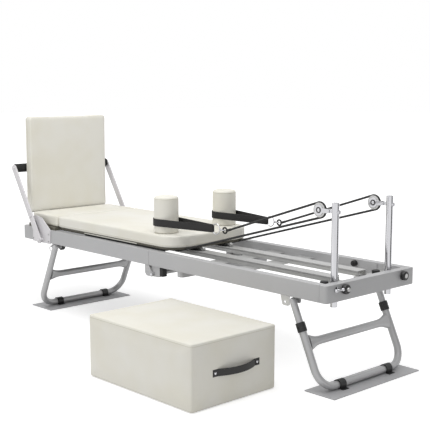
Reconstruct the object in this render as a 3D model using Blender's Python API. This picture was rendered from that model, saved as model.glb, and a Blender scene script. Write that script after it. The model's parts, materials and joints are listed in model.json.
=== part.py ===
"""Folding pilates reformer: two hinged frame halves on splayed folding legs,
a rolling padded carriage with rope pulleys, a footbar, a jump board and a sitting box.

Metres, +Z up. X runs along the frame towards the head end, and X = 0 is the split
between the two halves. The near side is -Y, and the floor is at Z = 0.
The finished part is moved so that its origin is the bottom centre of its bounding box.
"""

import math

import bmesh
import bpy
from mathutils import Matrix, Vector

# Clearances
SEAT_GAP = 0.0003
RUNNING_GAP = 0.0004
TINY = 1e-7

# Round pieces
ROUND_SIDES = 24
SMALL_SIDES = 16

# Frame halves
HALF_LENGTH = 1.166
FRAME_WIDTH = 0.620
RAIL_TOP = 0.4805
RAIL_HEIGHT = 0.0765
RAIL_THICKNESS = 0.040
HEAD_END_DEPTH = 0.040
FOOT_END_DEPTH = 0.080
END_CORNER = 0.014
TUBE_WALL = 0.003
SPLIT_GAP = 0.0006

# Carriage tracks and the plates that carry them
TRACK_CENTRE = 0.0965
TRACK_WIDTH = 0.063
TRACK_TOP = 0.475
TRACK_DEPTH = 0.024
TRACK_LIP = 0.004
TRACK_GROOVE = 0.004
TRACK_FROM_END = 0.134
TIE_THICKNESS = 0.004
TIE_INNER_X = 0.347
TIE_INNER_LENGTH = 0.094
TIE_MIDDLE_X = 0.550
TIE_MIDDLE_LENGTH = 0.095
TIE_FOOT_X = -0.345
TIE_FOOT_LENGTH = 0.110
TIE_OUTER_LENGTH = 0.106
TIE_STRIP_LENGTH = 0.016
TIE_NOTCH_HALF = 0.050

# Cross beam under the head half
BEAM_X = 0.226
BEAM_WIDTH = 0.045
BEAM_HEIGHT = 0.028
BEAM_SET_IN = 0.005

# Fold hinge
HINGE_X = 0.022
HINGE_Z = 0.3605
HINGE_PIN_RADIUS = 0.006
KNUCKLE_RADIUS = 0.0115
EAR_THICKNESS = 0.0092
LUG_WIDTH = 0.028
FOOT_EAR_LENGTH = 0.030
HEAD_LUG_LENGTH = 0.053
BUMPER_LENGTH = 0.022
HINGE_CHAMFER = 0.014
LUG_CHAMFER = 0.008
BUMPER_DROP = 0.004
PIN_CAP_RADIUS = 0.009
PIN_CAP_THICKNESS = 0.003

# Folding legs
LEG_FROM_RAIL_FACE = 0.017
LEG_RADIUS = 0.0173
LEG_BEND = 0.090
HEAD_PIVOT_FROM_END = 0.2007
HEAD_PIVOT_DROP = 0.0215
FOOT_PIVOT_FROM_END = 0.308
FOOT_PIVOT_DROP = 0.0178
HEAD_FOOT_FROM_END = 0.036
FOOT_FOOT_FROM_END = 0.1413
PIVOT_PIN_RADIUS = 0.006
CROSSBAR_DISTANCE_HEAD = 0.1905
CROSSBAR_DISTANCE_FOOT = 0.195
CROSSBAR_HALF_DEPTH = 0.0185
CROSSBAR_TAPER = ((0.0, 1.95), (0.018, 1.67), (0.036, 1.28), (0.060, 1.08), (0.090, 1.0))
CROSSBAR_THICKNESS = 0.0165
UPPER_TUBE_RADIUS = 0.0155
UPPER_TUBE_LENGTH = 0.185
LOWER_TUBE_START = 0.0985
LOWER_BORE_DEPTH = 0.135
COLLAR_RADIUS = 0.021
COLLAR_LENGTH = 0.042
COLLAR_START = 0.0972
BRACKET_THICKNESS = 0.0045
BRACKET_RISE = 0.088
BRACKET_SKIRT = 0.011
BRACKET_HALF_WIDTH = 0.022
LOCK_PLATE_REACH = 0.0565
LOCK_PLATE_FROM_PIVOT = 0.1133
LOCK_PLATE_WIDTH = 0.063
LOCK_PLATE_NECK = 0.010
LOCK_PLATE_LAP = 0.020
LOCK_PLATE_HOLE = 0.006
LOCK_PLATE_HOLE_X = 0.025
LOCK_PLATE_HOLE_Z = 0.016
LOCK_PIN_FROM_PIVOT = 0.047
LOCK_PIN_Z = 0.383
LOCK_PIN_RADIUS = 0.004
LOCK_RING_RADIUS = 0.013
LOCK_RING_WIRE = 0.0015
LEG_KNOB_RADIUS = 0.0235
LEG_KNOB_THICKNESS = 0.026
LEG_KNOB_HUB = 0.014
LEG_KNOB_HUB_DEPTH = 0.004
KNOB_BEVEL = 0.003

# Floor plates with their clips
PLATE_THICKNESS = 0.005
HEAD_PLATE_FROM_END = 0.035
HEAD_PLATE_LENGTH = 0.168
HEAD_PLATE_WIDTH = 0.608
FOOT_PLATE_FROM_END = 0.1464
FOOT_PLATE_LENGTH = 0.194
FOOT_PLATE_WIDTH = 0.587
CLIP_Y = 0.165
CLIP_WIDTH = 0.032
CLIP_WALL = 0.004

# Rope posts, pulleys and clamp knobs
POST_FROM_END = 0.059
POST_FROM_RAIL = 0.080
POST_RADIUS = 0.016
POST_WALL = 0.002
POST_ABOVE_PULLEY = 0.0394
POST_BELOW_RAIL = 0.0394
PULLEY_FROM_POST = 0.087
PULLEY_Z = 0.777
PULLEY_RADIUS = 0.0325
PULLEY_GROOVE_RADIUS = 0.0275
PULLEY_WIDTH = 0.014
PULLEY_AXLE_RADIUS = 0.004
SWIVEL_FROM_POST = 0.035
SWIVEL_PIN_RADIUS = 0.003
CHEEK_RADIUS = 0.0235
CHEEK_THICKNESS = 0.0025
TONGUE_HALF_WIDTH = 0.0065
TONGUE_HALF_HEIGHT = 0.0075
EYEBOLT_RADIUS = 0.005
EYEBOLT_TAIL = 0.012
EYEBOLT_NUT_RADIUS = 0.009
EYEBOLT_NUT = 0.008
KNOB_OFFSETS = {"near": 0.004, "far": 0.032}
KNOB_Z = 0.454
KNOB_RADIUS = 0.0215
KNOB_DEPTH = 0.0285
KNOB_STEM_RADIUS = 0.003
KNOB_RIM = 0.019
KNOB_CAP_RADIUS = 0.0095
POST_PIN_FROM_RAIL_FACE = 0.0635
POST_PIN_Z = 0.458
POST_PIN_RADIUS = 0.004
POST_PIN_HANDLE = 0.044
POST_PIN_BAR = 0.0032
POST_PIN_WASHER = 0.010
POST_PIN_WASHER_THICKNESS = 0.005
POST_PIN_BALL = 0.0075
POST_PIN_REACH = 0.0185

# Boards and pads
PAD_TOP = 0.563
PAD_FROM_RAIL_FACE = 0.024
PAD_CROWN = 0.004
PAD_EDGE = 0.014
WALL_DRAW = 0.12
SIDE_DRAW = 0.0015
BOARD_THICKNESS = 0.018
PLATFORM_FROM_END = 0.048
PLATFORM_LENGTH = 0.268
PLATFORM_FROM_RAIL_FACE = 0.010
PAD_GAP = 0.005
CARRIAGE_PAD_END = 0.160
CARRIAGE_BASE_SET_BACK = 0.015
CARRIAGE_BASE_END = 0.080
CARRIAGE_BASE_FROM_RAIL = 0.008
BOARD_CLEARANCE = 0.001
PAD_HEAD_CORNER = 0.115
PAD_FOOT_CORNER = 0.030

# Carriage running gear
ROLLER_RADIUS = 0.0113
ROLLER_LENGTH = 0.050
AXLE_RADIUS = 0.004
AXLE_HALF_LENGTH = 0.130
HEAD_AXLE_X = 0.100
FOOT_AXLE_SET_BACK = 0.070
EAR_PLATE = 0.007
EAR_BELOW_AXLE = 0.0091
EAR_AHEAD_OF_AXLE = 0.010
SPRING_RADIUS = 0.010
SPRING_WIRE = 0.0025
SPRING_FROM_RAIL = 0.070
SPRING_BELOW_BOARD = 0.0015
SPRING_END_SET_BACK = 0.245
SPRING_BLOCK_LENGTH = 0.015
ANCHOR_HALF_WIDTH = 0.012
ANCHOR_ABOVE_TRACK = 0.0007
CLEAT_X = 0.045
CLEAT_LENGTH = 0.025

# Shoulder rests, straps and rings
REST_X = 0.014
REST_FROM_ROPE = 0.0135
REST_RADIUS = 0.063
REST_HEIGHT = 0.187
REST_EDGE = 0.010
REST_BULGE = 0.0008
REST_CROWN = 0.002
REST_PEG_RADIUS = 0.010
REST_PEG_BOTTOM = 0.4855
STRAP_LOW = 0.600
STRAP_HEIGHT = 0.037
STRAP_THICKNESS = 0.0035
STRAP_TIP_X = 0.3605
STRAP_TIP_HALF = 0.0045
RING_X = 0.3685
RING_Z = 0.6185
RING_RADIUS = 0.0255
RING_WIRE = 0.0025
RING_SHANK_LENGTH = 0.019
HOOK_RADIUS = 0.0072
HOOK_WIRE = 0.0022

# Ropes
ROPE_RADIUS = 0.004
ROPE_BELOW_BOARD = 0.0007
ROPE_SETTLE = ((0.020, 0.0008), (0.045, 0.0055))

# Footbar
BAR_PIVOT_FROM_END = 0.204
BAR_PIVOT_Z = 0.417
BAR_TOP_FROM_PIVOT = 0.248
BAR_TOP_Z = 0.814
BAR_ARM_FROM_RAIL = 0.020
BAR_ARM_THICKNESS = 0.0093
BAR_ARM_HALF_WIDTH = 0.017
BAR_TUBE_RADIUS = 0.0125
BAR_GRIP_RADIUS = 0.025
BAR_BRACKET_THICKNESS = 0.005
BAR_BOLT_RADIUS = 0.006
BAR_BOSS_RADIUS = 0.012
BAR_BOLT_HEAD = 0.010
BAR_BOLT_HEAD_THICKNESS = 0.005
BAR_LOCK_DISTANCE = 0.152
BAR_LOCK_HEAD = 0.008
BRACKET_OUTLINE = ((-0.100, -0.017), (0.082, -0.017), (0.085, 0.065), (0.057, 0.085),
                   (0.007, 0.123), (-0.053, 0.136), (-0.106, 0.126), (-0.090, 0.073))

# Jump board
JUMP_BACK_PAST_END = 0.0135
JUMP_PANEL_THICKNESS = 0.012
JUMP_THICKNESS = 0.056
JUMP_FROM_RAIL_FACE = 0.042
JUMP_BOTTOM = 0.5525
JUMP_TOP = 1.1076
JUMP_CORNER = 0.020
JUMP_PANEL_INSET = 0.006
JUMP_FLANGE_THICKNESS = 0.004
JUMP_FLANGE_HALF_WIDTH = 0.150
JUMP_PEG_FROM_END = 0.016
JUMP_PEG_Y = 0.120
JUMP_PEG_RADIUS = 0.009

# Sitting box
BOX_X = 0.5856
BOX_Y = -0.610
BOX_LENGTH = 0.698
BOX_WIDTH = 0.495
BOX_HEIGHT = 0.290
BOX_CORNER = 0.016
BOX_CROWN = 0.006
BOX_EDGE = 0.012
HANDLE_Y = -0.6065
HANDLE_LENGTH = 0.272
HANDLE_Z = 0.145
HANDLE_WIDTH = 0.024
HANDLE_THICKNESS = 0.003
HANDLE_BULGE = 0.030
HANDLE_END = 0.030

# Derived levels and faces
RAIL_BOTTOM = RAIL_TOP - RAIL_HEIGHT
RAIL_OUTER = FRAME_WIDTH / 2
RAIL_INNER = RAIL_OUTER - RAIL_THICKNESS
HEAD_END_INNER = HALF_LENGTH - HEAD_END_DEPTH
FOOT_END_INNER = HALF_LENGTH - FOOT_END_DEPTH
TRACK_END = HALF_LENGTH - TRACK_FROM_END
SPLIT_FACE = SPLIT_GAP / 2
TRACK_BOTTOM = TRACK_TOP - TRACK_DEPTH
TIE_TOP = TRACK_BOTTOM - SEAT_GAP
TIE_HALF_WIDTH = RAIL_INNER - SEAT_GAP
HEAD_PIVOT_Z = RAIL_BOTTOM - HEAD_PIVOT_DROP
FOOT_PIVOT_Z = RAIL_BOTTOM - FOOT_PIVOT_DROP
FOOT_TUBE_Z = PLATE_THICKNESS + LEG_RADIUS + SEAT_GAP
LEG_SPACING = RAIL_OUTER - LEG_FROM_RAIL_FACE
HEAD_PIVOT_X = HALF_LENGTH - HEAD_PIVOT_FROM_END
FOOT_PIVOT_X = -HALF_LENGTH + FOOT_PIVOT_FROM_END
HEAD_FOOT_X = HALF_LENGTH - HEAD_FOOT_FROM_END
FOOT_FOOT_X = -HALF_LENGTH + FOOT_FOOT_FROM_END
HEAD_PLATE_X = HALF_LENGTH - HEAD_PLATE_FROM_END
FOOT_PLATE_X = -HALF_LENGTH + FOOT_PLATE_FROM_END
LOCK_PLATE_START = HEAD_PIVOT_X - LOCK_PLATE_FROM_PIVOT
LOCK_PIN_X = FOOT_PIVOT_X - LOCK_PIN_FROM_PIVOT
POST_X = HALF_LENGTH - POST_FROM_END
POST_Y = RAIL_INNER - POST_FROM_RAIL
ROPE_Y = POST_Y
KNOB_Y = {"near": -POST_Y - KNOB_OFFSETS["near"], "far": POST_Y + KNOB_OFFSETS["far"]}
PULLEY_X = POST_X - PULLEY_FROM_POST
SWIVEL_X = POST_X - SWIVEL_FROM_POST
POST_PIN_Y = -RAIL_OUTER + POST_PIN_FROM_RAIL_FACE
POST_BOTTOM = RAIL_BOTTOM - POST_BELOW_RAIL
POST_TOP = PULLEY_Z + POST_ABOVE_PULLEY
CARRIAGE_BASE_BOTTOM = RAIL_TOP + BOARD_CLEARANCE
CARRIAGE_BASE_TOP = CARRIAGE_BASE_BOTTOM + BOARD_THICKNESS
ANCHOR_BOTTOM = TRACK_TOP + ANCHOR_ABOVE_TRACK
SPRING_Z = CARRIAGE_BASE_BOTTOM - SPRING_BELOW_BOARD - SPRING_RADIUS
ROPE_CLEAT_Z = CARRIAGE_BASE_BOTTOM - ROPE_BELOW_BOARD - ROPE_RADIUS
PLATFORM_BOTTOM = RAIL_TOP + SEAT_GAP
PLATFORM_TOP = PLATFORM_BOTTOM + BOARD_THICKNESS
PLATFORM_START = -HALF_LENGTH + PLATFORM_FROM_END
PLATFORM_END = PLATFORM_START + PLATFORM_LENGTH
PLATFORM_HALF_WIDTH = RAIL_OUTER - PLATFORM_FROM_RAIL_FACE
PAD_HALF_WIDTH = RAIL_OUTER - PAD_FROM_RAIL_FACE
CARRIAGE_PAD_START = PLATFORM_END + PAD_GAP
CARRIAGE_BASE_START = CARRIAGE_PAD_START + CARRIAGE_BASE_SET_BACK
CARRIAGE_BASE_HALF_WIDTH = RAIL_INNER - CARRIAGE_BASE_FROM_RAIL
FOOT_AXLE_X = CARRIAGE_PAD_START + FOOT_AXLE_SET_BACK
SPRING_END_X = CARRIAGE_PAD_START + SPRING_END_SET_BACK
SPRING_Y = RAIL_INNER - SPRING_FROM_RAIL
AXLE_Z = TRACK_TOP + ROLLER_RADIUS + SEAT_GAP
REST_Y = ROPE_Y + REST_FROM_ROPE
REST_BOTTOM = PAD_TOP + SEAT_GAP
ROPE_GROOVE = PULLEY_GROOVE_RADIUS + ROPE_RADIUS + SEAT_GAP
LUG_OUTER = RAIL_OUTER - EAR_THICKNESS - 2 * SEAT_GAP
LUG_INNER = LUG_OUTER - LUG_WIDTH
HOOK_X = RING_X + RING_RADIUS + RING_SHANK_LENGTH + HOOK_RADIUS + HOOK_WIRE / 2
BAR_PIVOT_X = -HALF_LENGTH + BAR_PIVOT_FROM_END
BAR_TOP_X = BAR_PIVOT_X - BAR_TOP_FROM_PIVOT
BAR_ARM_INNER_Y = RAIL_OUTER + BAR_ARM_FROM_RAIL
BAR_ARM_OUTER_Y = BAR_ARM_INNER_Y + BAR_ARM_THICKNESS
JUMP_BACK_X = -HALF_LENGTH - JUMP_BACK_PAST_END
JUMP_FRONT_X = JUMP_BACK_X + JUMP_THICKNESS
JUMP_HALF_WIDTH = RAIL_OUTER - JUMP_FROM_RAIL_FACE
JUMP_PEG_X = -HALF_LENGTH + JUMP_PEG_FROM_END

SIDES = {"near": -1, "far": 1}


def outline_arc(centre, radius, start, end, steps):
    """Points on an arc in a plane, from one angle to another in degrees."""
    points = []
    for step in range(steps + 1):
        angle = math.radians(start + (end - start) * step / steps)
        points.append((centre[0] + radius * math.cos(angle), centre[1] + radius * math.sin(angle)))
    return points


def rounded_rectangle(low, high, radii, steps=4, side_points=0, draw_in=0.0):
    """Outline from corner low to corner high, anticlockwise from low, with a radius for each corner.

    Extra points along each side can be drawn in towards the middle, as on a cushion.
    """
    corners = [(low[0], low[1]), (high[0], low[1]), (high[0], high[1]), (low[0], high[1])]
    inward = [(1, 1), (-1, 1), (-1, -1), (1, -1)]
    side_in = [(0, 1), (-1, 0), (0, -1), (1, 0)]
    points = []
    for index, (corner, towards, radius) in enumerate(zip(corners, inward, radii)):
        if radius > 0:
            centre = (corner[0] + towards[0] * radius, corner[1] + towards[1] * radius)
            start = 180 + 90 * index
            points.extend(outline_arc(centre, radius, start, start + 90, steps))
        else:
            points.append(corner)
        following = (index + 1) % 4
        reach = radii[following]
        goal = corners[following]
        along = (goal[0] - corner[0], goal[1] - corner[1])
        length = math.hypot(*along)
        unit = (along[0] / length, along[1] / length)
        start_point = points[-1]
        run = length - radius - reach
        for number in range(1, side_points + 1):
            share = number / (side_points + 1)
            pull = draw_in * 4 * share * (1 - share)
            points.append((start_point[0] + unit[0] * run * share + side_in[index][0] * pull,
                           start_point[1] + unit[1] * run * share + side_in[index][1] * pull))
    return points


def shrunk(outline, distance):
    """The outline moved inwards along its normals."""
    count = len(outline)
    points = []
    for index, (x, y) in enumerate(outline):
        before = outline[index - 1]
        after = outline[(index + 1) % count]
        run = (after[0] - before[0], after[1] - before[1])
        length = math.hypot(*run)
        points.append((x - run[1] / length * distance, y + run[0] / length * distance))
    return points


def scene_object(name, data):
    piece = bpy.data.objects.new(name, data)
    bpy.context.scene.collection.objects.link(piece)
    return piece


def mesh_object(built):
    """Turn a finished bmesh into an object with its faces pointing out."""
    bmesh.ops.recalc_face_normals(built, faces=built.faces)
    mesh = bpy.data.meshes.new("mesh")
    built.to_mesh(mesh)
    built.free()
    return scene_object("piece", mesh)


PLANES = {
    "X": lambda u, v, w: (w, u, v),
    "Y": lambda u, v, w: (u, w, v),
    "Z": lambda u, v, w: (u, v, w),
}


def prism(outline, low, high, axis):
    """Outline extruded along an axis: (Y, Z) points along X, (X, Z) along Y and (X, Y) along Z."""
    place = PLANES[axis]
    built = bmesh.new()
    face = built.faces.new([built.verts.new(place(u, v, low)) for u, v in outline])
    grown = bmesh.ops.extrude_face_region(built, geom=[face])
    moved = [item for item in grown["geom"] if isinstance(item, bmesh.types.BMVert)]
    bmesh.ops.translate(built, verts=moved, vec=Vector(place(0, 0, high - low)))
    return mesh_object(built)


def block(low, high):
    outline = [(low[0], low[1]), (high[0], low[1]), (high[0], high[1]), (low[0], high[1])]
    return prism(outline, low[2], high[2], "Z")


def stitched(loops, ring=False):
    """Skin between loops of equally many points; a loop of one point closes to a tip."""
    built = bmesh.new()
    rows = [[built.verts.new(point) for point in loop] for loop in loops]
    pairs = list(zip(rows, rows[1:]))
    if ring:
        pairs.append((rows[-1], rows[0]))
    for lower, upper in pairs:
        count = max(len(lower), len(upper))
        for index in range(count):
            after = (index + 1) % count
            corners = [lower[index % len(lower)]]
            if len(lower) > 1:
                corners.append(lower[after])
            if len(upper) > 1:
                corners.append(upper[after])
            corners.append(upper[index % len(upper)])
            built.faces.new(corners)
    if not ring:
        for row in (rows[0], rows[-1]):
            if len(row) > 1:
                built.faces.new(row)
    return mesh_object(built)


def turned(profile, base, direction, sides=ROUND_SIDES, ring=False):
    """Profile of (radius, height) points turned about the line from base along direction."""
    lean = Vector(direction).to_track_quat("Z", "Y").to_matrix().to_4x4()
    place = Matrix.Translation(base) @ lean
    loops = []
    for radius, height in profile:
        if radius < TINY:
            loops.append([place @ Vector((0, 0, height))])
            continue
        loop = []
        for side in range(sides):
            angle = 2 * math.pi * side / sides
            loop.append(place @ Vector((radius * math.cos(angle), radius * math.sin(angle), height)))
        loops.append(loop)
    return stitched(loops, ring)


def rod(start, end, radius, sides=ROUND_SIDES):
    run = Vector(end) - Vector(start)
    return turned([(radius, 0.0), (radius, run.length)], start, run, sides)


def pipe(start, end, outer, inner, sides=ROUND_SIDES):
    run = Vector(end) - Vector(start)
    profile = [(inner, 0.0), (outer, 0.0), (outer, run.length), (inner, run.length)]
    return turned(profile, start, run, sides, ring=True)


def ball(centre, radius, sides=SMALL_SIDES):
    steps = sides // 2
    profile = []
    for step in range(steps + 1):
        angle = math.pi * step / steps
        profile.append((radius * math.sin(angle), -radius * math.cos(angle)))
    return turned(profile, centre, (0, 0, 1), sides)


def ring_of_wire(centre, radius, wire, axis, sides=ROUND_SIDES, wire_sides=8):
    profile = outline_arc((radius, 0.0), wire, 0, 360 - 360 / wire_sides, wire_sides - 1)
    return turned(profile, centre, axis, sides, ring=True)


def rope_curve(points, radius, resolution=2):
    curve = bpy.data.curves.new("rope", "CURVE")
    curve.dimensions = "3D"
    curve.bevel_depth = radius
    curve.bevel_resolution = resolution
    curve.use_fill_caps = True
    spline = curve.splines.new("POLY")
    spline.points.add(len(points) - 1)
    for target, point in zip(spline.points, points):
        target.co = (*point, 1.0)
    return scene_object("rope", curve)


def swept_tube(path, sides=SMALL_SIDES):
    """Round tube along (point, radius) pairs in a plane of constant X; a radius of zero is a tip."""
    loops = []
    for index, (point, radius) in enumerate(path):
        if radius < TINY:
            loops.append([Vector(point)])
            continue
        before = Vector(path[max(index - 1, 0)][0])
        after = Vector(path[min(index + 1, len(path) - 1)][0])
        forward = (after - before).normalized()
        across = Vector((1, 0, 0))
        third = forward.cross(across)
        loop = []
        for side in range(sides):
            angle = 2 * math.pi * side / sides
            offset = across * (radius * math.cos(angle)) + third * (radius * math.sin(angle))
            loop.append(Vector(point) + offset)
        loops.append(loop)
    return stitched(loops)


def evaluated_mesh(piece):
    graph = bpy.context.evaluated_depsgraph_get()
    return bpy.data.meshes.new_from_object(piece.evaluated_get(graph))


def combined(base, others, operation):
    """Base with the other solids joined on or cut away; the others are used up."""
    for other in others:
        step = base.modifiers.new("step", "BOOLEAN")
        step.operation = operation
        step.solver = "EXACT"
        step.object = other
    mesh = evaluated_mesh(base)
    base.modifiers.clear()
    base.data = mesh
    for other in others:
        bpy.data.objects.remove(other)
    return base


def joined(base, *others):
    return combined(base, others, "UNION")


def cut(base, *others):
    return combined(base, others, "DIFFERENCE")


def moved(piece, matrix):
    piece.data.transform(matrix)
    return piece


def mirrored(piece, axis):
    """Mirror image of a solid across the plane through the frame's zero on this axis."""
    scale = Matrix.Scale(-1, 4, Vector(PLANES[axis](0, 0, 1)))
    piece.data.transform(scale)
    piece.data.flip_normals()
    return piece


def cushion(outline, low, high, crown, edge):
    """Padded slab: flat under side, slightly drawn-in side wall, rolled edge and crowned top."""
    centre_x = sum(point[0] for point in outline) / len(outline)
    centre_y = sum(point[1] for point in outline) / len(outline)
    rim = high - crown
    wall = [(edge * 0.5, low), (0.0, low + edge * 0.5), (edge * WALL_DRAW, (low + rim) / 2),
            (0.0, rim - edge), (edge * 0.3, rim - edge * 0.3), (edge, rim)]
    loops = []
    for inset, level in wall:
        loops.append([(x, y, level) for x, y in shrunk(outline, inset)])
    inner = shrunk(outline, edge)
    for share in (0.88, 0.68, 0.42):
        level = high - crown * share ** 3
        loop = []
        for x, y in inner:
            loop.append((centre_x + (x - centre_x) * share, centre_y + (y - centre_y) * share, level))
        loops.append(loop)
    return stitched(loops)


def from_srgb(*levels):
    """Material colour from screen levels of 0 to 255."""
    linear = []
    for level in levels:
        value = level / 255
        linear.append(value / 12.92 if value <= 0.04045 else ((value + 0.055) / 1.055) ** 2.4)
    return (*linear, 1.0)


def finish_material(name, colour, metallic, roughness):
    material = bpy.data.materials.new(name)
    material.use_nodes = True
    shader = material.node_tree.nodes["Principled BSDF"]
    shader.inputs["Base Color"].default_value = colour
    shader.inputs["Metallic"].default_value = metallic
    shader.inputs["Roughness"].default_value = roughness
    material.diffuse_color = colour
    return material


FINISHES = {
    "satin_silver": (from_srgb(176, 176, 177), 0.5, 0.45),
    "bright_steel": (from_srgb(205, 205, 207), 1.0, 0.25),
    "light_silver": (from_srgb(214, 212, 214), 0.4, 0.4),
    "leg_silver": (from_srgb(165, 165, 166), 0.5, 0.4),
    "plate_grey": (from_srgb(150, 150, 152), 0.3, 0.55),
    "black_plastic": (from_srgb(24, 24, 24), 0.0, 0.45),
    "black_foam": (from_srgb(22, 22, 22), 0.0, 0.9),
    "cream_leather": (from_srgb(233, 232, 226), 0.0, 0.5),
    "black_leather": (from_srgb(28, 27, 25), 0.0, 0.55),
    "black_webbing": (from_srgb(32, 31, 30), 0.0, 0.8),
    "rope_black": (from_srgb(45, 45, 45), 0.0, 0.85),
    "board_grey": (from_srgb(190, 188, 178), 0.0, 0.7),
}

# Each body, what carries it, and a point on its joint's axis
JOINT_POINTS = {
    "head_frame": (None, (0.0, 0.0, 0.0)),
    "foot_frame": ("head_frame", (HINGE_X, 0.0, HINGE_Z)),
    "head_leg": ("head_frame", (HEAD_PIVOT_X, 0.0, HEAD_PIVOT_Z)),
    "head_leg_frame": ("head_leg", (HEAD_PIVOT_X, 0.0, HEAD_PIVOT_Z)),
    "head_plate": ("head_leg_frame", (HEAD_FOOT_X, 0.0, FOOT_TUBE_Z)),
    "foot_leg": ("foot_frame", (FOOT_PIVOT_X, 0.0, FOOT_PIVOT_Z)),
    "foot_plate": ("foot_leg", (FOOT_FOOT_X, 0.0, FOOT_TUBE_Z)),
    "foot_leg_lock": ("foot_frame", (LOCK_PIN_X, -LEG_SPACING, LOCK_PIN_Z)),
    "foot_leg_knob": ("foot_frame", (FOOT_PIVOT_X, -RAIL_INNER, FOOT_PIVOT_Z)),
    "post_lock": ("head_frame", (HALF_LENGTH, POST_PIN_Y, POST_PIN_Z)),
    "footbar": ("foot_frame", (BAR_PIVOT_X, 0.0, BAR_PIVOT_Z)),
    "jump_board": ("foot_frame", (JUMP_PEG_X, 0.0, RAIL_TOP)),
    "carriage": ("head_frame", (CARRIAGE_BASE_START, 0.0, CARRIAGE_BASE_BOTTOM)),
    "head_rollers": ("carriage", (HEAD_AXLE_X, 0.0, AXLE_Z)),
    "foot_rollers": ("carriage", (FOOT_AXLE_X, 0.0, AXLE_Z)),
    "sitting_box": ("head_frame", (BOX_X, BOX_Y, 0.0)),
}
for side_name, side_sign in SIDES.items():
    JOINT_POINTS[f"post_{side_name}"] = ("head_frame", (POST_X, side_sign * POST_Y, RAIL_TOP))
    JOINT_POINTS[f"pulley_block_{side_name}"] = (
        f"post_{side_name}", (SWIVEL_X, side_sign * POST_Y, PULLEY_Z))
    JOINT_POINTS[f"pulley_wheel_{side_name}"] = (
        f"pulley_block_{side_name}", (PULLEY_X, side_sign * POST_Y, PULLEY_Z))
    JOINT_POINTS[f"post_knob_{side_name}"] = (
        "head_frame", (HALF_LENGTH, KNOB_Y[side_name], KNOB_Z))
    JOINT_POINTS[f"shoulder_rest_{side_name}"] = (
        "carriage", (REST_X, side_sign * REST_Y, REST_BOTTOM))


def clear_scene():
    for item in list(bpy.data.objects):
        bpy.data.objects.remove(item)


def make_body_empties():
    empties = {}
    for body, (parent, point) in JOINT_POINTS.items():
        empty = scene_object(f"body_{body}", None)
        empty.empty_display_size = 0.05
        if parent:
            empty.parent = empties[parent]
            empty.location = Vector(point) - Vector(JOINT_POINTS[parent][1])
        empties[body] = empty
    return empties


class Assembly:
    """Names the finished solids, gives them their material and hangs them on their body."""

    def __init__(self):
        self.empties = make_body_empties()
        self.materials = {}
        for name, settings in FINISHES.items():
            self.materials[name] = finish_material(name, *settings)
        self.parts = []

    def add(self, name, piece, body, material, smooth=True):
        piece.name = name
        piece.data.name = name
        moved(piece, Matrix.Translation(-Vector(JOINT_POINTS[body][1])))
        piece.parent = self.empties[body]
        if smooth and piece.type == "MESH":
            piece.data.shade_smooth()
            piece.data.set_sharp_from_angle(angle=math.radians(35))
        piece.data.materials.clear()
        piece.data.materials.append(self.materials[material])
        self.parts.append(piece)

    def stand_on_origin(self):
        """Move the whole part so that the origin is the bottom centre of its bounding box."""
        bpy.context.view_layer.update()
        corners = []
        for piece in self.parts:
            corners.extend(piece.matrix_world @ Vector(corner) for corner in piece.bound_box)
        low = [min(corner[axis] for corner in corners) for axis in range(3)]
        high = [max(corner[axis] for corner in corners) for axis in range(3)]
        middle = ((low[0] + high[0]) / 2, (low[1] + high[1]) / 2, low[2])
        self.empties["head_frame"].location = -Vector(middle)
        print("frame zero lies at", [round(-value, 6) for value in middle])


def leg_bracket(pivot_x, pivot_z, start_x, end_x):
    """Plate on the near rail's inner face with the pin that the leg turns on."""
    face = -RAIL_INNER
    outline = [(start_x, pivot_z - BRACKET_SKIRT), (end_x, pivot_z - BRACKET_SKIRT),
               (end_x, pivot_z + BRACKET_RISE), (start_x, pivot_z + BRACKET_RISE)]
    plate = prism(outline, face - SEAT_GAP, face + BRACKET_THICKNESS, "Y")
    pin = rod((pivot_x, face + BRACKET_THICKNESS / 2, pivot_z),
              (pivot_x, -LEG_SPACING - LEG_RADIUS + PLATE_THICKNESS / 2, pivot_z),
              PIVOT_PIN_RADIUS, SMALL_SIDES)
    return plate, pin


def lock_plate():
    """Hooked catch plate that hangs below the near head rail beside the leg."""
    left = LOCK_PLATE_START
    right = left + LOCK_PLATE_WIDTH
    neck = LOCK_PLATE_NECK
    low = RAIL_BOTTOM - LOCK_PLATE_REACH
    lap = RAIL_BOTTOM + LOCK_PLATE_LAP
    outline = [(left + neck, low + neck / 2), (left + 2 * neck, low), (right - 2 * neck, low),
               (right - neck, low + neck / 2), (right - neck, RAIL_BOTTOM - 1.5 * neck),
               (HEAD_PIVOT_X, RAIL_BOTTOM - neck), (HEAD_PIVOT_X, lap), (left, lap),
               (left, RAIL_BOTTOM - 2 * neck)]
    plate = prism(outline, -RAIL_INNER - SEAT_GAP, -RAIL_INNER + BRACKET_THICKNESS, "Y")
    hole_x = left + LOCK_PLATE_HOLE_X
    hole_z = low + LOCK_PLATE_HOLE_Z
    hole = rod((hole_x, -RAIL_OUTER, hole_z), (hole_x, 0, hole_z), LOCK_PLATE_HOLE, SMALL_SIDES)
    return cut(plate, hole)


def hollow_rail(start_x, end_x, open_at_end):
    """Near side rail: a rectangular tube, open towards the end rail and closed at the split."""
    rail = block((start_x, -RAIL_OUTER, RAIL_BOTTOM), (end_x, -RAIL_INNER, RAIL_TOP))
    bore_start = start_x + TUBE_WALL if open_at_end else start_x - TUBE_WALL
    bore_end = end_x + TUBE_WALL if open_at_end else end_x - TUBE_WALL
    bore = block((bore_start, -RAIL_OUTER + TUBE_WALL, RAIL_BOTTOM + TUBE_WALL),
                 (bore_end, -RAIL_INNER - TUBE_WALL, RAIL_TOP - TUBE_WALL))
    return cut(rail, bore)


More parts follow.
